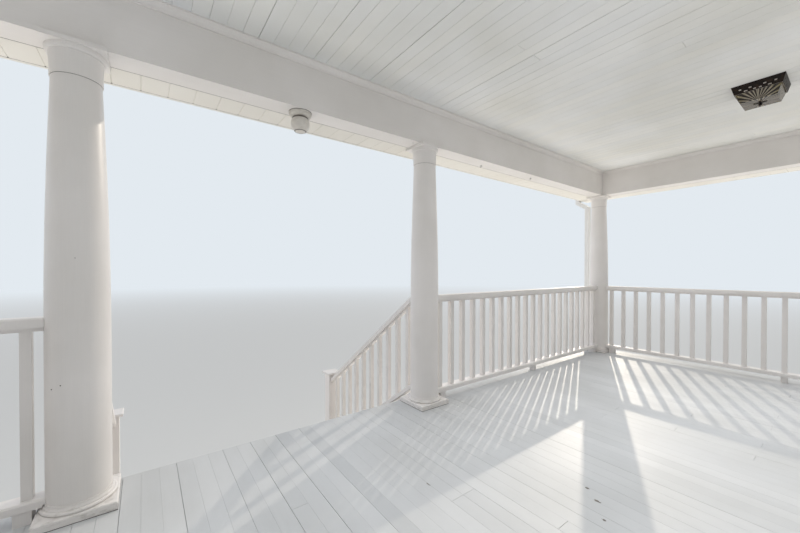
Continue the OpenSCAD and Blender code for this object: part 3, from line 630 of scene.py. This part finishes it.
FLOOR_BOARD = 81 * MM
FLOOR_GAPS = [0.3, 0.4, 0.5, 0.8, 1.2, 2.0]
FIRST_JOIST, JOIST_STEP = 0.4, 0.406
PALE_TONE, DARK_TONE, DARK_BOARD_X = 0.75, 0.45, -0.07
floor_low, floor_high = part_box("porch_floor")
floor_size = (FLOOR_BOARD, 1.0, floor_high.z - floor_low.z)
floor_inner = eased_block(floor_size, 1, 0.35 * MM)
floor_nosed = eased_block(floor_size, 1, 0.35 * MM, 1, [(Y, -1)])


def floor_cuts(draw):
    """Most rows have one joint, over a joist; some run through."""
    joists = [floor_low.y + FIRST_JOIST + JOIST_STEP * i for i in range(1, 8)]
    return draw.sample(joists, draw.choice([0, 1, 1, 1]))


def floor_shade(left, right, tone):
    """Boards are pale, apart from one dark row."""
    return DARK_TONE if left < DARK_BOARD_X < right else PALE_TONE + (1 - PALE_TONE) * tone


copies = lay_boards(floor_low, floor_high, FLOOR_BOARD, FLOOR_GAPS, floor_cuts, 11, floor_inner, floor_nosed,
                    floor_shade)
assemble("floor_boards", copies, grey_floor, "floor_paint", "porch_floor")

CEILING_BOARD = 84 * MM
CEILING_GAPS = [0.3, 0.4, 0.6, 0.8, 1.2, 2.2, 3.4]
CEILING_JOINTS = [0.2, 0.8, 1.4, 2.0]
ceiling_low, ceiling_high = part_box("ceiling")
ceiling_pattern = eased_block((CEILING_BOARD, 1.0, ceiling_high.z - ceiling_low.z), -1, 1.5 * MM)


def ceiling_cuts(draw):
    return draw.sample(CEILING_JOINTS, draw.choice([0, 0, 1]))


copies = lay_boards(ceiling_low, ceiling_high, CEILING_BOARD, CEILING_GAPS, ceiling_cuts, 23, ceiling_pattern)
assemble("ceiling_boards", copies, pale_ceiling, "ceiling_paint", "ceiling", smooth=True)

# Eaves: a fascia board, and soffit panels across the eave with a dark line of painted shadow at both ends
SOFFIT_PANEL = 129.5 * MM
SOFFIT_GAPS = [0.8]
SOFFIT_T = 12 * MM
FASCIA_H, FASCIA_T = 0.285, 20 * MM
LINE = 3 * MM
eave_low, eave_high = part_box("eave_front")
beam_low, beam_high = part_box("beam_front")
soffit_pattern = eased_block((SOFFIT_PANEL, 0.2, SOFFIT_T), -1, 2.6 * MM)
fascia_pattern = eased_block((1.0, FASCIA_T, FASCIA_H), 0, 1.5 * MM, 2)
z0 = eave_low.z
x_in, y_in = eave_high.x - FASCIA_T - LINE, eave_low.y + FASCIA_T + LINE


def no_cuts(draw):
    return []


def soffit(side, low, high, turn, seed):
    low, high = Vector((*low, z0)), Vector((*high, z0 + SOFFIT_T))
    copies = lay_boards(low, high, SOFFIT_PANEL, SOFFIT_GAPS, no_cuts, seed, soffit_pattern, turn=turn)
    vinyl = vinyl_x if turn else vinyl_y
    assemble("soffit_panels_" + side, copies, vinyl, "soffit_vinyl", "eave_" + side, smooth=True)


def fascia(side, low, high, vinyl):
    board = fitted(fascia_pattern, (*low, z0), (*high, eave_high.z))
    assemble("fascia_" + side, [(*board, 0.5)], vinyl, "soffit_vinyl", "eave_" + side)


soffit("front", (eave_low.x + FASCIA_T + LINE, y_in), (x_in, beam_low.y - LINE / 2), False, 3)
soffit("left", (eave_low.x + FASCIA_T + LINE, beam_low.y), (beam_low.x - LINE / 2, floor_high.y), True, 4)
soffit("right", (beam_high.x + LINE / 2, beam_low.y), (x_in, floor_high.y), True, 5)
y_out = eave_low.y + FASCIA_T
fascia("front", (eave_low.x, eave_low.y), (eave_high.x, y_out), fascia_x)
for side, x in zip(SIDES, (eave_low.x, eave_high.x - FASCIA_T)):
    fascia(side, (x, y_out), (x + FASCIA_T, floor_high.y), fascia_y)

# Stair treads: two boards each with an open seam, the front one with a rounded nosing
TREAD_RUN, TREAD_NOSE, RISER, TREAD_T, TREADS = 0.267, 0.025, 0.187, 0.032, 6
TREAD_DEPTH = TREAD_RUN + TREAD_NOSE
TREAD_SEAM = 2 * MM
NEWEL_CLEAR = 1.02
tread_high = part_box("stair_treads")[1]
tread_front = eased_block((1.0, 0.15, TREAD_T), 1, 1.5 * MM, 2, [(Y, -1)])
tread_back = eased_block((1.0, 0.15, TREAD_T), 1, 1.5 * MM, 2)
copies = []
for step in range(TREADS):
    y = tread_high.y - TREAD_DEPTH - TREAD_RUN * step
    z = tread_high.z - RISER * step
    seam = y + TREAD_DEPTH / 2
    half = NEWEL_CLEAR if step == TREADS - 1 else tread_high.x
    front = fitted(tread_front, (-half, y, z - TREAD_T), (half, seam - TREAD_SEAM, z))
    back = fitted(tread_back, (-tread_high.x, seam + TREAD_SEAM, z - TREAD_T),
                  (tread_high.x, y + TREAD_DEPTH, z))
    copies += [(*front, 0.3 + 0.1 * (step % 3)), (*back, 0.6 - 0.1 * (step % 2))]
assemble("stair_tread_boards", copies, grey_floor, "floor_paint", "stair_treads")

# Piers: bricks in courses that turn a quarter each time, round a core of mortar set back from them
BRICK_L, BRICK_W, BRICK_H, JOINT = 0.19, 0.09, 0.057, 0.01
MORTAR_BACK = 0.005
COURSES = 12
brick_pattern = eased_block((BRICK_L, BRICK_W, BRICK_H), 0, 2.5 * MM)
pier_low, pier_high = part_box("front_piers")
newel_low, newel_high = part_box("newel_right")
newel_x = (newel_low.x + newel_high.x) / 2
PIER = pier_high.y - pier_low.y
IN_W, IN_L = BRICK_W + JOINT, BRICK_L + JOINT
COURSE_PLAN = [((0, 0), (BRICK_L, BRICK_W)), ((IN_L, 0), (PIER, BRICK_W)),
               ((0, PIER - BRICK_W), (BRICK_L, PIER)), ((IN_L, PIER - BRICK_W), (PIER, PIER)),
               ((0, IN_W), (BRICK_W, PIER - IN_W)), ((PIER - BRICK_W, IN_W), (PIER, PIER - IN_W))]
draw = random.Random(31)
for row in ("front", "rear"):
    low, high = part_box(row + "_piers")
    bricks, cores = [], []
    course = (high.z - low.z) / COURSES
    for x in (low.x, -newel_x - PIER / 2, newel_x - PIER / 2, high.x - PIER):
        core_low = (x + MORTAR_BACK, low.y + MORTAR_BACK, low.z)
        core_high = (x + PIER - MORTAR_BACK, high.y - MORTAR_BACK, high.z)
        cores.append((*fitted(plain_tongue, core_low, core_high), 0.5))
        for level in range(COURSES):
            z = low.z + level * course
            for a, b in COURSE_PLAN:
                if level % 2:
                    a, b = (a[1], a[0]), (b[1], b[0])
                bricks.append((*fitted(brick_pattern, (x + a[0], low.y + a[1], z + JOINT / 2),
                                       (x + b[0], low.y + b[1], z + course - JOINT / 2)), draw.random()))
    assemble(row + "_pier_bricks", bricks, red_brick, "brick", row + "_piers")
    assemble(row + "_pier_mortar", cores, mortar, "brick", row + "_piers")

# Roof: shingle tabs on the three slopes, cut along the hips, and folded caps over the hips
SLOPE = 0.333
DECK_LIFT = 0.030
TAB, SLOT, SHOW = 0.305, 0.006, 0.143
BUTT, THIN = 7.5 * MM, 2.5 * MM
WALL_STOP = 0.045
LEAST_COURSE, LEAST_TAB, LEAST_ROW = 0.02, 0.03, 0.05
BOND, DRIFT = 0.5, 0.03
roof_low, roof_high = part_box("roof_front")
first_y, wall_y = roof_low.y, roof_high.y - WALL_STOP
plan_show = SHOW / math.hypot(1, SLOPE)
cube_points, cube_faces = plain_tongue


def roof_height(back):
    """Top of the deck at a distance in plan behind the fascia's face."""
    return eave_high.z + DECK_LIFT + SLOPE * back


def cube_sides(mirrored):
    """The cube's faces, turned about where its points are a mirror image, so that they look outwards."""
    return [tuple(reversed(f)) for f in cube_faces] if mirrored else cube_faces


def wedge(corners, lift):
    """A tab from four plan corners (u, back) and the thickness at each, laid on a slope."""
    spots = []
    for point in cube_points:
        index = (1 if point[0] > 0 else 0) + (2 if point[1] > 0 else 0)
        u, back = corners[index]
        spots.append((u, back, roof_height(back) + (lift[index] if point[2] > 0 else 0)))
    return np.array(spots)


def front_spot(points):
    """From (along, back, height) to a place on the front slope."""
    return np.stack([points[:, 0], points[:, 1] + eave_low.y, points[:, 2]], 1)


def side_spot(sign):
    return lambda points: np.stack([sign * (eave_high.x - points[:, 1]), points[:, 0], points[:, 2]], 1)


def shingle_slope(name, limits, to_slope, mirrored, seed):
    """Courses of tabs from the eave up; limits(back) gives the two ends of the course line there."""
    draw = random.Random(seed)
    copies = []
    first_back, last_back = first_y - eave_low.y, wall_y - eave_low.y
    for course in range(int((last_back - first_back) / plan_show) + 1):
        b0 = first_back + course * plan_show
        b1 = min(b0 + plan_show, last_back)
        if b1 - b0 < LEAST_COURSE:
            continue
        (l0, r0), (l1, r1) = limits(b0), limits(b1)
        offset = -TAB * (BOND * (course % 2) + DRIFT * draw.random())
        cuts = []
        u = math.floor(min(l0, l1) / TAB) * TAB + offset
        while u < r0:
            if max(l0, l1) + LEAST_TAB < u < min(r0, r1) - LEAST_TAB:
                cuts.append(u)
            u += TAB
        if r1 - l1 < LEAST_ROW:
            continue
        starts = [(l0, l1)] + [(c + SLOT / 2, c + SLOT / 2) for c in cuts]
        ends = [(c - SLOT / 2, c - SLOT / 2) for c in cuts] + [(r0, r1)]
        for (s0, s1), (e0, e1) in zip(starts, ends):
            spots = wedge([(s0, b0), (e0, b0), (s1, b1), (e1, b1)], [BUTT, BUTT, THIN, THIN])
            copies.append((to_slope(spots), cube_sides(mirrored), draw.random()))
    assemble(name, copies, shingle_grey, "shingles")


def front_limits(back):
    reach = eave_high.x - back
    return -reach, reach


def side_limits(back):
    return eave_low.y + back, wall_y


shingle_slope("roof_shingles_front", front_limits, front_spot, False, 41)
shingle_slope("roof_shingles_right", side_limits, side_spot(1), False, 42)
shingle_slope("roof_shingles_left", side_limits, side_spot(-1), True, 43)

HIP_STEP, HIP_HALF, HIP_T = 0.14, 0.11, 5 * MM
DIAGONAL = 0.7071
HIP_THIN, HIP_SUNK = 1.5 * MM, 0.9
HIP_START, HIP_STOP = 0.01, 0.04
HIP_GAP, CREASE = 0.3 * MM, 0.2 * MM
hip_pitch = HIP_STEP / math.sqrt(2)
hip_out = HIP_HALF * DIAGONAL
copies = []
draw = random.Random(44)
for sign in (-1, 1):
    for i in range(int((wall_y - HIP_STOP - first_y) / hip_pitch)):
        b0 = first_y - eave_low.y + HIP_START + i * hip_pitch
        b1 = b0 + hip_pitch - HIP_GAP
        tone = draw.random()
        for way in (-1, 1):
            spots = []
            for point in cube_points:
                back = b1 if point[1] > 0 else b0
                out = hip_out if point[0] > 0 else CREASE
                lift = BUTT + ((HIP_T if point[1] < 0 else HIP_THIN) if point[2] > 0 else -BUTT * HIP_SUNK)
                spots.append((sign * (eave_high.x - back + way * out), eave_low.y + back + way * out,
                              roof_height(back) - SLOPE * out + lift))
            copies.append((np.array(spots), cube_sides(way == -sign), tone))
assemble("roof_hip_caps", copies, shingle_grey, "shingles")

# Ceiling lights: each piece is made for the light at +X and copied to the other one
LIGHT_W, LIGHT_MID, LIGHT_LOW = 0.275, 0.245, 0.190
BAND_H, GLASS_H, GLASS_LAP = 0.058, 0.062, 0.010
SHEET, LINER_T, LINER_GAP = 2 * MM, 1 * MM, 0.6 * MM
GLASS_T, GLASS_CLEAR = 3.5 * MM, 3 * MM
RIBS, RIB_H = 15, 1.1 * MM
# Openings in a band: their ends along a side, in the upper and the lower row, and each row's heights
OPENINGS = (((-0.102, -0.088), (-0.047, -0.031), (0.031, 0.047), (0.088, 0.102)),
            ((-0.076, -0.056), (-0.024, -0.008), (0.008, 0.024), (0.056, 0.076)))
OPENING_ROWS = ((-0.036, -0.028), (-0.051, -0.044))
frames_low, frames_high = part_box("ceiling_light_frames")
light_x = frames_high.x - LIGHT_W / 2
light_y = (frames_low.y + frames_high.y) / 2
light_z = frames_high.z
glass_foot = light_z - BAND_H - GLASS_H


def copied_across(made, place=(0, 0, 0)):
    """Moves a piece to the light at +X and joins it with its copy at the other one."""
    made.data.transform(Matrix.Translation(place))
    twin = put(made.name, made.data.copy())
    twin.data.transform(Matrix.Translation((-2 * light_x, 0, 0)))
    return join(made.name, [made, twin])


def light_band(name, inset, pierced):
    """Square tapered band: sides cut through in two rows, then given the sheet's thickness."""
    half = LIGHT_W / 2
    made = start_block(name, (-half, -half, -BAND_H), (half, half, 0))
    cut_away(made, lambda c, n: n.z < -0.9)
    upright = sorted({v for row in OPENINGS for pair in row for v in pair})
    level = sorted({v for row in OPENING_ROWS for v in row})
    for way, cuts in (((1, 0, 0), upright), ((0, 1, 0), upright), ((0, 0, 1), level)):
        for at in cuts:
            everything()
            bpy.ops.mesh.bisect(plane_co=tuple(at * c for c in way), plane_no=way)

    def is_opening(centre, normal):
        if abs(normal.z) > 0.5:
            return False
        along = centre.x if abs(normal.y) > 0.5 else centre.y
        return any(low < centre.z < high and any(a < along < b for a, b in spots)
                   for (low, high), spots in zip(OPENING_ROWS, OPENINGS))

    if pierced:
        cut_away(made, is_opening)
    leave()
    for vertex in made.data.vertices:
        shrink = 1 + (LIGHT_MID / LIGHT_W - 1) * (-vertex.co.z / BAND_H) - 2 * inset / LIGHT_W
        vertex.co.x *= shrink
        vertex.co.y *= shrink
    return give_wall(made, SHEET if pierced else LINER_T)


def light_dish():
    """Pressed glass dish: tapered, its four sides and its bottom ribbed in a fan, then given its
    thickness."""
    wide, deep = LIGHT_MID / 2 - GLASS_CLEAR, GLASS_H + GLASS_LAP
    made = start_block("ribbed_light_dishes", (-wide, -wide, -deep), (wide, wide, 0))
    cut_away(made, lambda c, n: n.z > 0.9)
    everything()
    bpy.ops.mesh.subdivide(number_cuts=35)
    leave()

    def rib(angle):
        return RIB_H * (0.5 + 0.5 * math.cos(2 * RIBS * angle))

    for vertex in made.data.vertices:
        p = vertex.co.copy()
        low = abs(p.z + deep) < SAME
        side_x, side_y = abs(abs(p.x) - wide) < SAME, abs(abs(p.y) - wide) < SAME
        shrink = 1 + (LIGHT_LOW / 2 / wide - 1) * -p.z / deep
        vertex.co.x, vertex.co.y = p.x * shrink, p.y * shrink
        if low and not (side_x or side_y):
            vertex.co.z += rib(math.atan2(p.y, p.x))
        elif not low and side_x != side_y:
            out, along = (X, p.y) if side_x else (Y, p.x)
            vertex.co[out] -= rib(math.atan2(along, p.z + deep + RIB_FAN)) * math.copysign(1, p[out])
    return give_wall(made, GLASS_T)


at_ceiling = (light_x, light_y, light_z)
liners = copied_across(light_band("light_band_liners", SHEET + LINER_GAP, False), at_ceiling)
settle(liners, white_liner, "lamp_metal")
bands = copied_across(light_band("pierced_light_bands", 0, True), at_ceiling)
settle(bands, bronze, "bronze", "ceiling_light_frames")
dishes = copied_across(light_dish(), (light_x, light_y, light_z - BAND_H + GLASS_LAP))
settle(dishes, ribbed_glass(Vector((light_x, light_y)), glass_foot), "lamp_glass", "ceiling_light_glasses",
       smooth=True)

# Rod, washer and knob under the dish, and a scrolled bar across its bottom
ROD_TOP = 0.002
KNOB = [(0.005, 0.004), (0.014, 0.004), (0.016, 0.0), (0.013, -0.002), (0.006, -0.004), (0.0065, -0.007),
        (0.0115, -0.011), (0.012, -0.016), (0.008, -0.021), (0, -0.023)]
SCROLL_L, SCROLL_W, SCROLL_R = 0.036, 0.006, 0.005
SCROLL_LOW, SCROLL_HIGH = -0.0035, -0.0005
rod_top = light_z - ROD_TOP - glass_foot
parts = [turned("light_knob", [(0, rod_top), (0.005, rod_top)] + KNOB, (light_x, light_y, glass_foot), 20)]
for half_x, half_y in ((SCROLL_L, SCROLL_W), (SCROLL_W, SCROLL_L)):
    bar = start_block("light_scroll", (light_x - half_x, light_y - half_y, glass_foot + SCROLL_LOW),
                      (light_x + half_x, light_y + half_y, glass_foot + SCROLL_HIGH))
    pick(bar, "EDGE", lambda a, b: abs(a.z - b.z) > EDGE_RUN)
    bpy.ops.mesh.bevel(offset=SCROLL_R, segments=4, affect="EDGES")
    leave()
    parts.append(bar)
knobs = copied_across(join("light_knobs_and_scrolls", parts))
settle(knobs, bronze, "bronze", "ceiling_light_frames", smooth=True)

# Entry light: a grey gasket round the top of its globe and a grey ring round the bottom, grey partly as
# painted shade, and a dark ring of painted shadow under the canopy's top edge
COLLAR = [(0.0455, 0.004), (0.049, 0.003), (0.051, -0.001), (0.0505, -0.006), (0.047, -0.008),
          (0.043, -0.006), (0.0425, 0.001), (0.0455, 0.004)]
COLLAR_DROP = 0.004
RING = [(-2, 0), (1, 0), (3, 2), (3, 5), (-2, 4), (-2, 0)]
SHADOW_RING_DROP, SHADOW_RING_H = 3 * MM, 2.6 * MM
globe_low, globe_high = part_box("entry_light_globe")
centre = (0.0, (globe_low.y + globe_high.y) / 2)
collar = turned("entry_light_collar", COLLAR, (*centre, globe_high.z - COLLAR_DROP), 36)
settle(collar, gasket_grey_and_shade, "lamp_metal", smooth=True)
foot_r = node_radius("entry_light_globe", globe_low.z, centre)
outline = [(foot_r + r * MM, z * MM) for r, z in RING]
ring = turned("entry_light_bottom_ring", outline, (*centre, globe_low.z), 36)
settle(ring, gasket_grey_and_shade, "lamp_metal", smooth=True)
canopy_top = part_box("entry_light_canopy")[1].z
canopy_r = node_radius("entry_light_canopy", canopy_top, centre)
# Painted shadow: a dark ring just under the canopy's top edge
canopy_shadow_ring = joint_ring("entry_light_canopy_painted_shadow_ring", canopy_r, (*centre, canopy_top - SHADOW_RING_DROP), SHADOW_RING_H)
settle(canopy_shadow_ring, joint_shade_and_dirt, "lamp_metal", smooth=True)

# Dark lines: an open joint round each shaft where the capital sits, and painted shadow, with some dirt, round
# each plinth's foot
CAPITAL_JOINT_DROP, CAPITAL_JOINT_H = 1.4 * MM, 1.8 * MM
PLINTH_SHADOW_H = 2.5 * MM
proud = Vector((JOINT_PROUD, JOINT_PROUD, 0))
rings, lines = [], []
for place in both("corner", "stair"):
    kind, side = place.split("_")
    low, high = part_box(f"{kind}_shaft_{side}")
    middle = ((low.x + high.x) / 2, (low.y + high.y) / 2)
    radius = node_radius(f"{kind}_shaft_{side}", high.z, middle)
    rings.append(joint_ring("capital_joint", radius, (*middle, high.z - CAPITAL_JOINT_DROP), CAPITAL_JOINT_H))
    low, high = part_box(f"{kind}_base_{side}")
    top = Vector((high.x, high.y, low.z + PLINTH_SHADOW_H))
    # The line round the plinth's foot is painted shadow and dirt where it meets the floor
    lines.append(start_block("plinth_shadow_line", low - proud, top + proud))
settle(join("capital_joints", rings), joint_shade_and_dirt, "trim_paint", smooth=True)
settle(join("plinth_shadow_lines", lines), joint_shade_and_dirt, "trim_paint")

# Painted shadow: a dark slot between the soffit panels and the fascia, with a nick at the end of each
# groove, and a dark seam where the panels meet the beams, drawn dark for the shade in these gaps
SLOT_LOW, SLOT_HIGH, SLOT_LAP = 1 * MM, 5 * MM, 1 * MM
NICK_LOW, NICK_HIGH, NICK_HALF, NICK_L = -0.3 * MM, 2 * MM, 2 * MM, 7 * MM
x_out = eave_high.x - FASCIA_T
y_slot, x_slot = y_out + LINE + SLOT_LAP, x_out - LINE - SLOT_LAP
seam_y = beam_low.y - LINE / 2
slots = [((-x_out, y_out), (x_out, y_slot)), ((-x_out, y_slot), (-x_slot, floor_high.y)),
         ((x_slot, y_slot), (x_out, floor_high.y))]
grooves = round(2 * x_in / SOFFIT_PANEL)
middles = [-x_in + 2 * x_in * i / grooves for i in range(1, grooves)]
seams = [((x - NICK_HALF, y_out + LINE), (x + NICK_HALF, y_out + LINE + NICK_L)) for x in middles]
seams.append(((beam_low.x, seam_y), (beam_high.x, seam_y + LINE)))
seams += [((x - LINE / 2, seam_y + LINE), (x + LINE / 2, floor_high.y)) for x in (beam_low.x, beam_high.x)]
dark = [start_block("soffit_shadow_slot", (*a, z0 + SLOT_LOW), (*b, z0 + SLOT_HIGH)) for a, b in slots]
dark += [start_block("soffit_shadow_seam", (*a, z0 + NICK_LOW), (*b, z0 + NICK_HIGH)) for a, b in seams]
settle(join("soffit_shadow_slots", dark), joint_shade_and_dirt, "soffit_vinyl")

# Small hardware and marks
HOOKS = ((-1.855, -0.810), (-2.662, -0.783))
HOOK_R, HOOK_WIRE, HOOK_SHANK = 0.011, 1.7 * MM, 0.014


def cup_hook(x, y, z):
    """A wire hook under the beam: a shank, then three quarters of a turn."""
    only()
    bpy.ops.mesh.primitive_circle_add(vertices=8, radius=HOOK_WIRE, fill_type="NGON", location=(x, y, z))
    made = bpy.context.object
    bpy.ops.object.transform_apply(location=True, rotation=True, scale=True)
    bpy.ops.object.mode_set(mode="EDIT")
    everything()
    bpy.ops.mesh.extrude_region_move(TRANSFORM_OT_translate={"value": (0, 0, -HOOK_SHANK)})
    bpy.ops.mesh.spin(steps=14, angle=-1.45 * math.pi, center=(x + HOOK_R, y, z - HOOK_SHANK), axis=(0, 1, 0))
    close_up()
    bpy.ops.mesh.flip_normals()
    leave()
    return made


hooks = [cup_hook(x, y, beam_low.z) for x, y in HOOKS]
settle(join("beam_hooks", hooks), dark_iron, "lamp_metal", smooth=True)

# Chips in the floor paint down to the wood: (x, y, half length along the board, half width). Holes
# and a staple in the column by the stair: (angle round it, height). Nail heads under the beam: (x, y).
# A spot's size is its radius and how far it stands out.
CHIPS = ((-1.003, 0.605, 0.011, 0.006), (-0.938, 0.682, 0.016, 0.007), (-0.828, 0.760, 0.009, 0.005),
         (-0.363, 0.088, 0.014, 0.003))
CHIP_T, CHIP_RAG = 0.25 * MM, 0.35
COLUMN = Vector((1.085, -0.7825))
SHAFT_R = 0.119
SCREW_HOLES = ((46.2, 1.9064), (64.9, 1.9233))
STAPLE = (90.9, 2.4912)
BEAM_DOTS = ((-0.9326, -0.7507), (-4.2182, -0.7840))
HOLE_SIZE, STAPLE_SIZE, NAIL_SIZE = (2.6 * MM, 0.5 * MM), (1.6 * MM, 0.5 * MM), (4 * MM, 0.4 * MM)


def spot_disc(name, centre, way, radius, thick, stretch=(1, 1)):
    """A small flat spot on a surface that looks along way, a little of it sunk in."""
    only()
    bpy.ops.mesh.primitive_cylinder_add(vertices=11, radius=radius, depth=2 * thick, location=centre)
    made = bpy.context.object
    made.name = made.data.name = name
    made.rotation_euler = Vector(way).to_track_quat("Z", "Y").to_euler()
    made.scale = (*stretch, 1)
    bpy.ops.object.transform_apply(location=True, rotation=True, scale=True)
    return made


def ragged(made, amount, seed):
    """Moves the upright edges of a spot in and out, both ends of each edge alike."""
    draw = random.Random(seed)
    centre = sum((v.co for v in made.data.vertices), Vector()) / len(made.data.vertices)
    pushes = {}
    for vertex in made.data.vertices:
        key = (round(vertex.co.x, 4), round(vertex.co.y, 4))
        push = pushes.setdefault(key, 1 + draw.uniform(-amount, amount))
        vertex.co.x = centre.x + (vertex.co.x - centre.x) * push
        vertex.co.y = centre.y + (vertex.co.y - centre.y) * push
    return made


def on_shaft(angle, z):
    """A place on the shaft of the column by the stair, and the way its surface looks there."""
    way = Vector((math.cos(math.radians(angle)), math.sin(math.radians(angle)), 0))
    return (COLUMN.x + way.x * SHAFT_R, COLUMN.y + way.y * SHAFT_R, z), way


chips = [spot_disc("floor_paint_chip", (x, y, floor_top), (0, 0, 1), 1.0, CHIP_T, (across, along))
         for x, y, along, across in CHIPS]
chips = [ragged(chip, CHIP_RAG, i) for i, chip in enumerate(chips)]
settle(join("floor_paint_chips", chips), chipped_paint, "floor_paint")
holes = [spot_disc("column_screw_hole", *on_shaft(*place), *HOLE_SIZE) for place in SCREW_HOLES]
holes.append(spot_disc("column_staple", *on_shaft(*STAPLE), *STAPLE_SIZE))
settle(join("column_screw_holes", holes), dark_iron, "trim_paint")
dots = [spot_disc("beam_nail_head", (x, y, beam_low.z), (0, 0, -1), *NAIL_SIZE) for x, y in BEAM_DOTS]
settle(join("beam_nail_heads", dots), dark_iron, "lamp_metal")

# Camera
yaw, pitch, roll = (math.radians(a) for a in (YAW, PITCH, ROLL))
ahead = Vector((-math.cos(yaw) * math.cos(pitch), -math.sin(yaw) * math.cos(pitch), math.sin(pitch)))
level_right = Vector((-math.sin(yaw), math.cos(yaw), 0))
right = level_right * math.cos(roll) + level_right.cross(ahead) * math.sin(roll)
up = right.cross(ahead)
lens = bpy.data.cameras.new("photo_camera")
lens.sensor_width = SENSOR
lens.lens = SENSOR * FOCAL_PX / IMAGE_W
lens.shift_y = SHIFT_PX / IMAGE_W
lens.clip_start, lens.clip_end = VIEW_NEAR, VIEW_FAR
camera = put("photo_camera", lens)
camera.matrix_world = Matrix([(right[i], up[i], -ahead[i], EYE[i]) for i in range(3)] + [(0, 0, 0, 1)])
bpy.context.scene.camera = camera

# Stage: a pale floor that fades into the backdrop, and a world that shows the backdrop but lights
# the porch with its own sky
only()
bpy.ops.mesh.primitive_plane_add(size=STAGE_SIZE, location=(0, 0, 0))
ground = bpy.context.object
ground.name = "studio_floor"
stage_paint, tree = start_material("pale_studio_floor")
spot = add(tree, "TexCoord").outputs["Object"]
distance = add(tree, "VectorMath", {"operation": "LENGTH"}, n0=spot).outputs["Value"]
far = add(tree, "MapRange", {"interpolation_type": "SMOOTHSTEP"}, Value=distance, From_Min=FADE_START,
          From_Max=FADE_END)
far = add(tree, "Math", TIMES, n0=far, n1=seen_straight(tree))
paint = add(tree, "BsdfPrincipled", Roughness=0.9, Base_Color="#DADCDB")
glow = add(tree, "Emission", Color=BACKDROP, Strength=1.0)
add(tree, "OutputMaterial", Surface=add(tree, "MixShader", Fac=far, n1=paint, n2=glow))
ground.data.materials.append(stage_paint)

world = bpy.data.worlds.new("studio_sky")
bpy.context.scene.world = world
world.use_nodes = True
tree = world.node_tree
tree.nodes.clear()
way = add(tree, "TexCoord").outputs["Generated"]
light = add(tree, "Background", Color=SKY_EVEN[0], Strength=SKY_EVEN[1])
for heading, start, full, colour, strength in SKY_PARTS:
    facing = add(tree, "VectorMath", {"operation": "DOT_PRODUCT"}, n0=way, n1=heading).outputs["Value"]
    level = add(tree, "MapRange", Value=facing, From_Min=start, From_Max=full, To_Max=strength)
    light = add(tree, "AddShader", n0=light, n1=add(tree, "Background", Color=colour, Strength=level))
seen = add(tree, "Background", Color=BACKDROP, Strength=1.0)
add(tree, "OutputWorld", Surface=add(tree, "MixShader", Fac=seen_straight(tree), n1=light, n2=seen))

sunlight = bpy.data.lights.new("low_sun", "SUN")
sunlight.energy = SUN[1]
sunlight.angle = math.radians(SUN_BLUR)
sunlight.color = linear(SUN[0])[:3]
flat = SUN_HEADING.normalized() * math.cos(math.radians(SUN_HEIGHT))
sun_way = Vector((flat.x, flat.y, -math.sin(math.radians(SUN_HEIGHT))))
put("low_sun", sunlight).rotation_euler = sun_way.to_track_quat("-Z", "Y").to_euler()


def soft_lamp(name, low, high, z, faces_up, spread, colour, output):
    """A flat lamp that is only felt: output in watts a square metre, spread in degrees."""
    data = bpy.data.lights.new(name, "AREA")
    data.shape = "RECTANGLE"
    data.size, data.size_y = high[0] - low[0], high[1] - low[1]
    data.energy = output * data.size * data.size_y
    data.color = linear(colour)[:3]
    data.spread = math.radians(spread)
    lamp = put(name, data)
    lamp.location = ((low[0] + high[0]) / 2, (low[1] + high[1]) / 2, z)
    lamp.rotation_euler = (math.pi if faces_up else 0, 0, 0)
    lamp.visible_camera = lamp.visible_glossy = lamp.visible_transmission = False


soft_lamp("ground_bounce", (-GROUND_REACH, -GROUND_REACH), (GROUND_REACH, GROUND_REACH), LAMP_LIFT, True,
          GROUND_SPREAD, *GROUND_LIFT)
sunny_end = (ROOM_LOW, (SUNNY_EDGE, ROOM_HIGH[1]))
shady_end = ((SUNNY_EDGE, ROOM_LOW[1]), ROOM_HIGH)
for fill, z, faces_up, sunny, shady in (
        ("ceiling_fill", floor_top + LAMP_LIFT, True, SUNNY_CEILING_LIFT, SHADY_CEILING_LIFT),
        ("floor_fill", ceiling_low.z - CEILING_DROP, False, SUNNY_FLOOR_LIFT, SHADY_FLOOR_LIFT)):
    soft_lamp(fill + "_sunny_end", *sunny_end, z, faces_up, SOFT_SPREAD, *sunny)
    soft_lamp(fill + "_shady_end", *shady_end, z, faces_up, SOFT_SPREAD, *shady)

bpy.context.scene.view_settings.view_transform = "Standard"
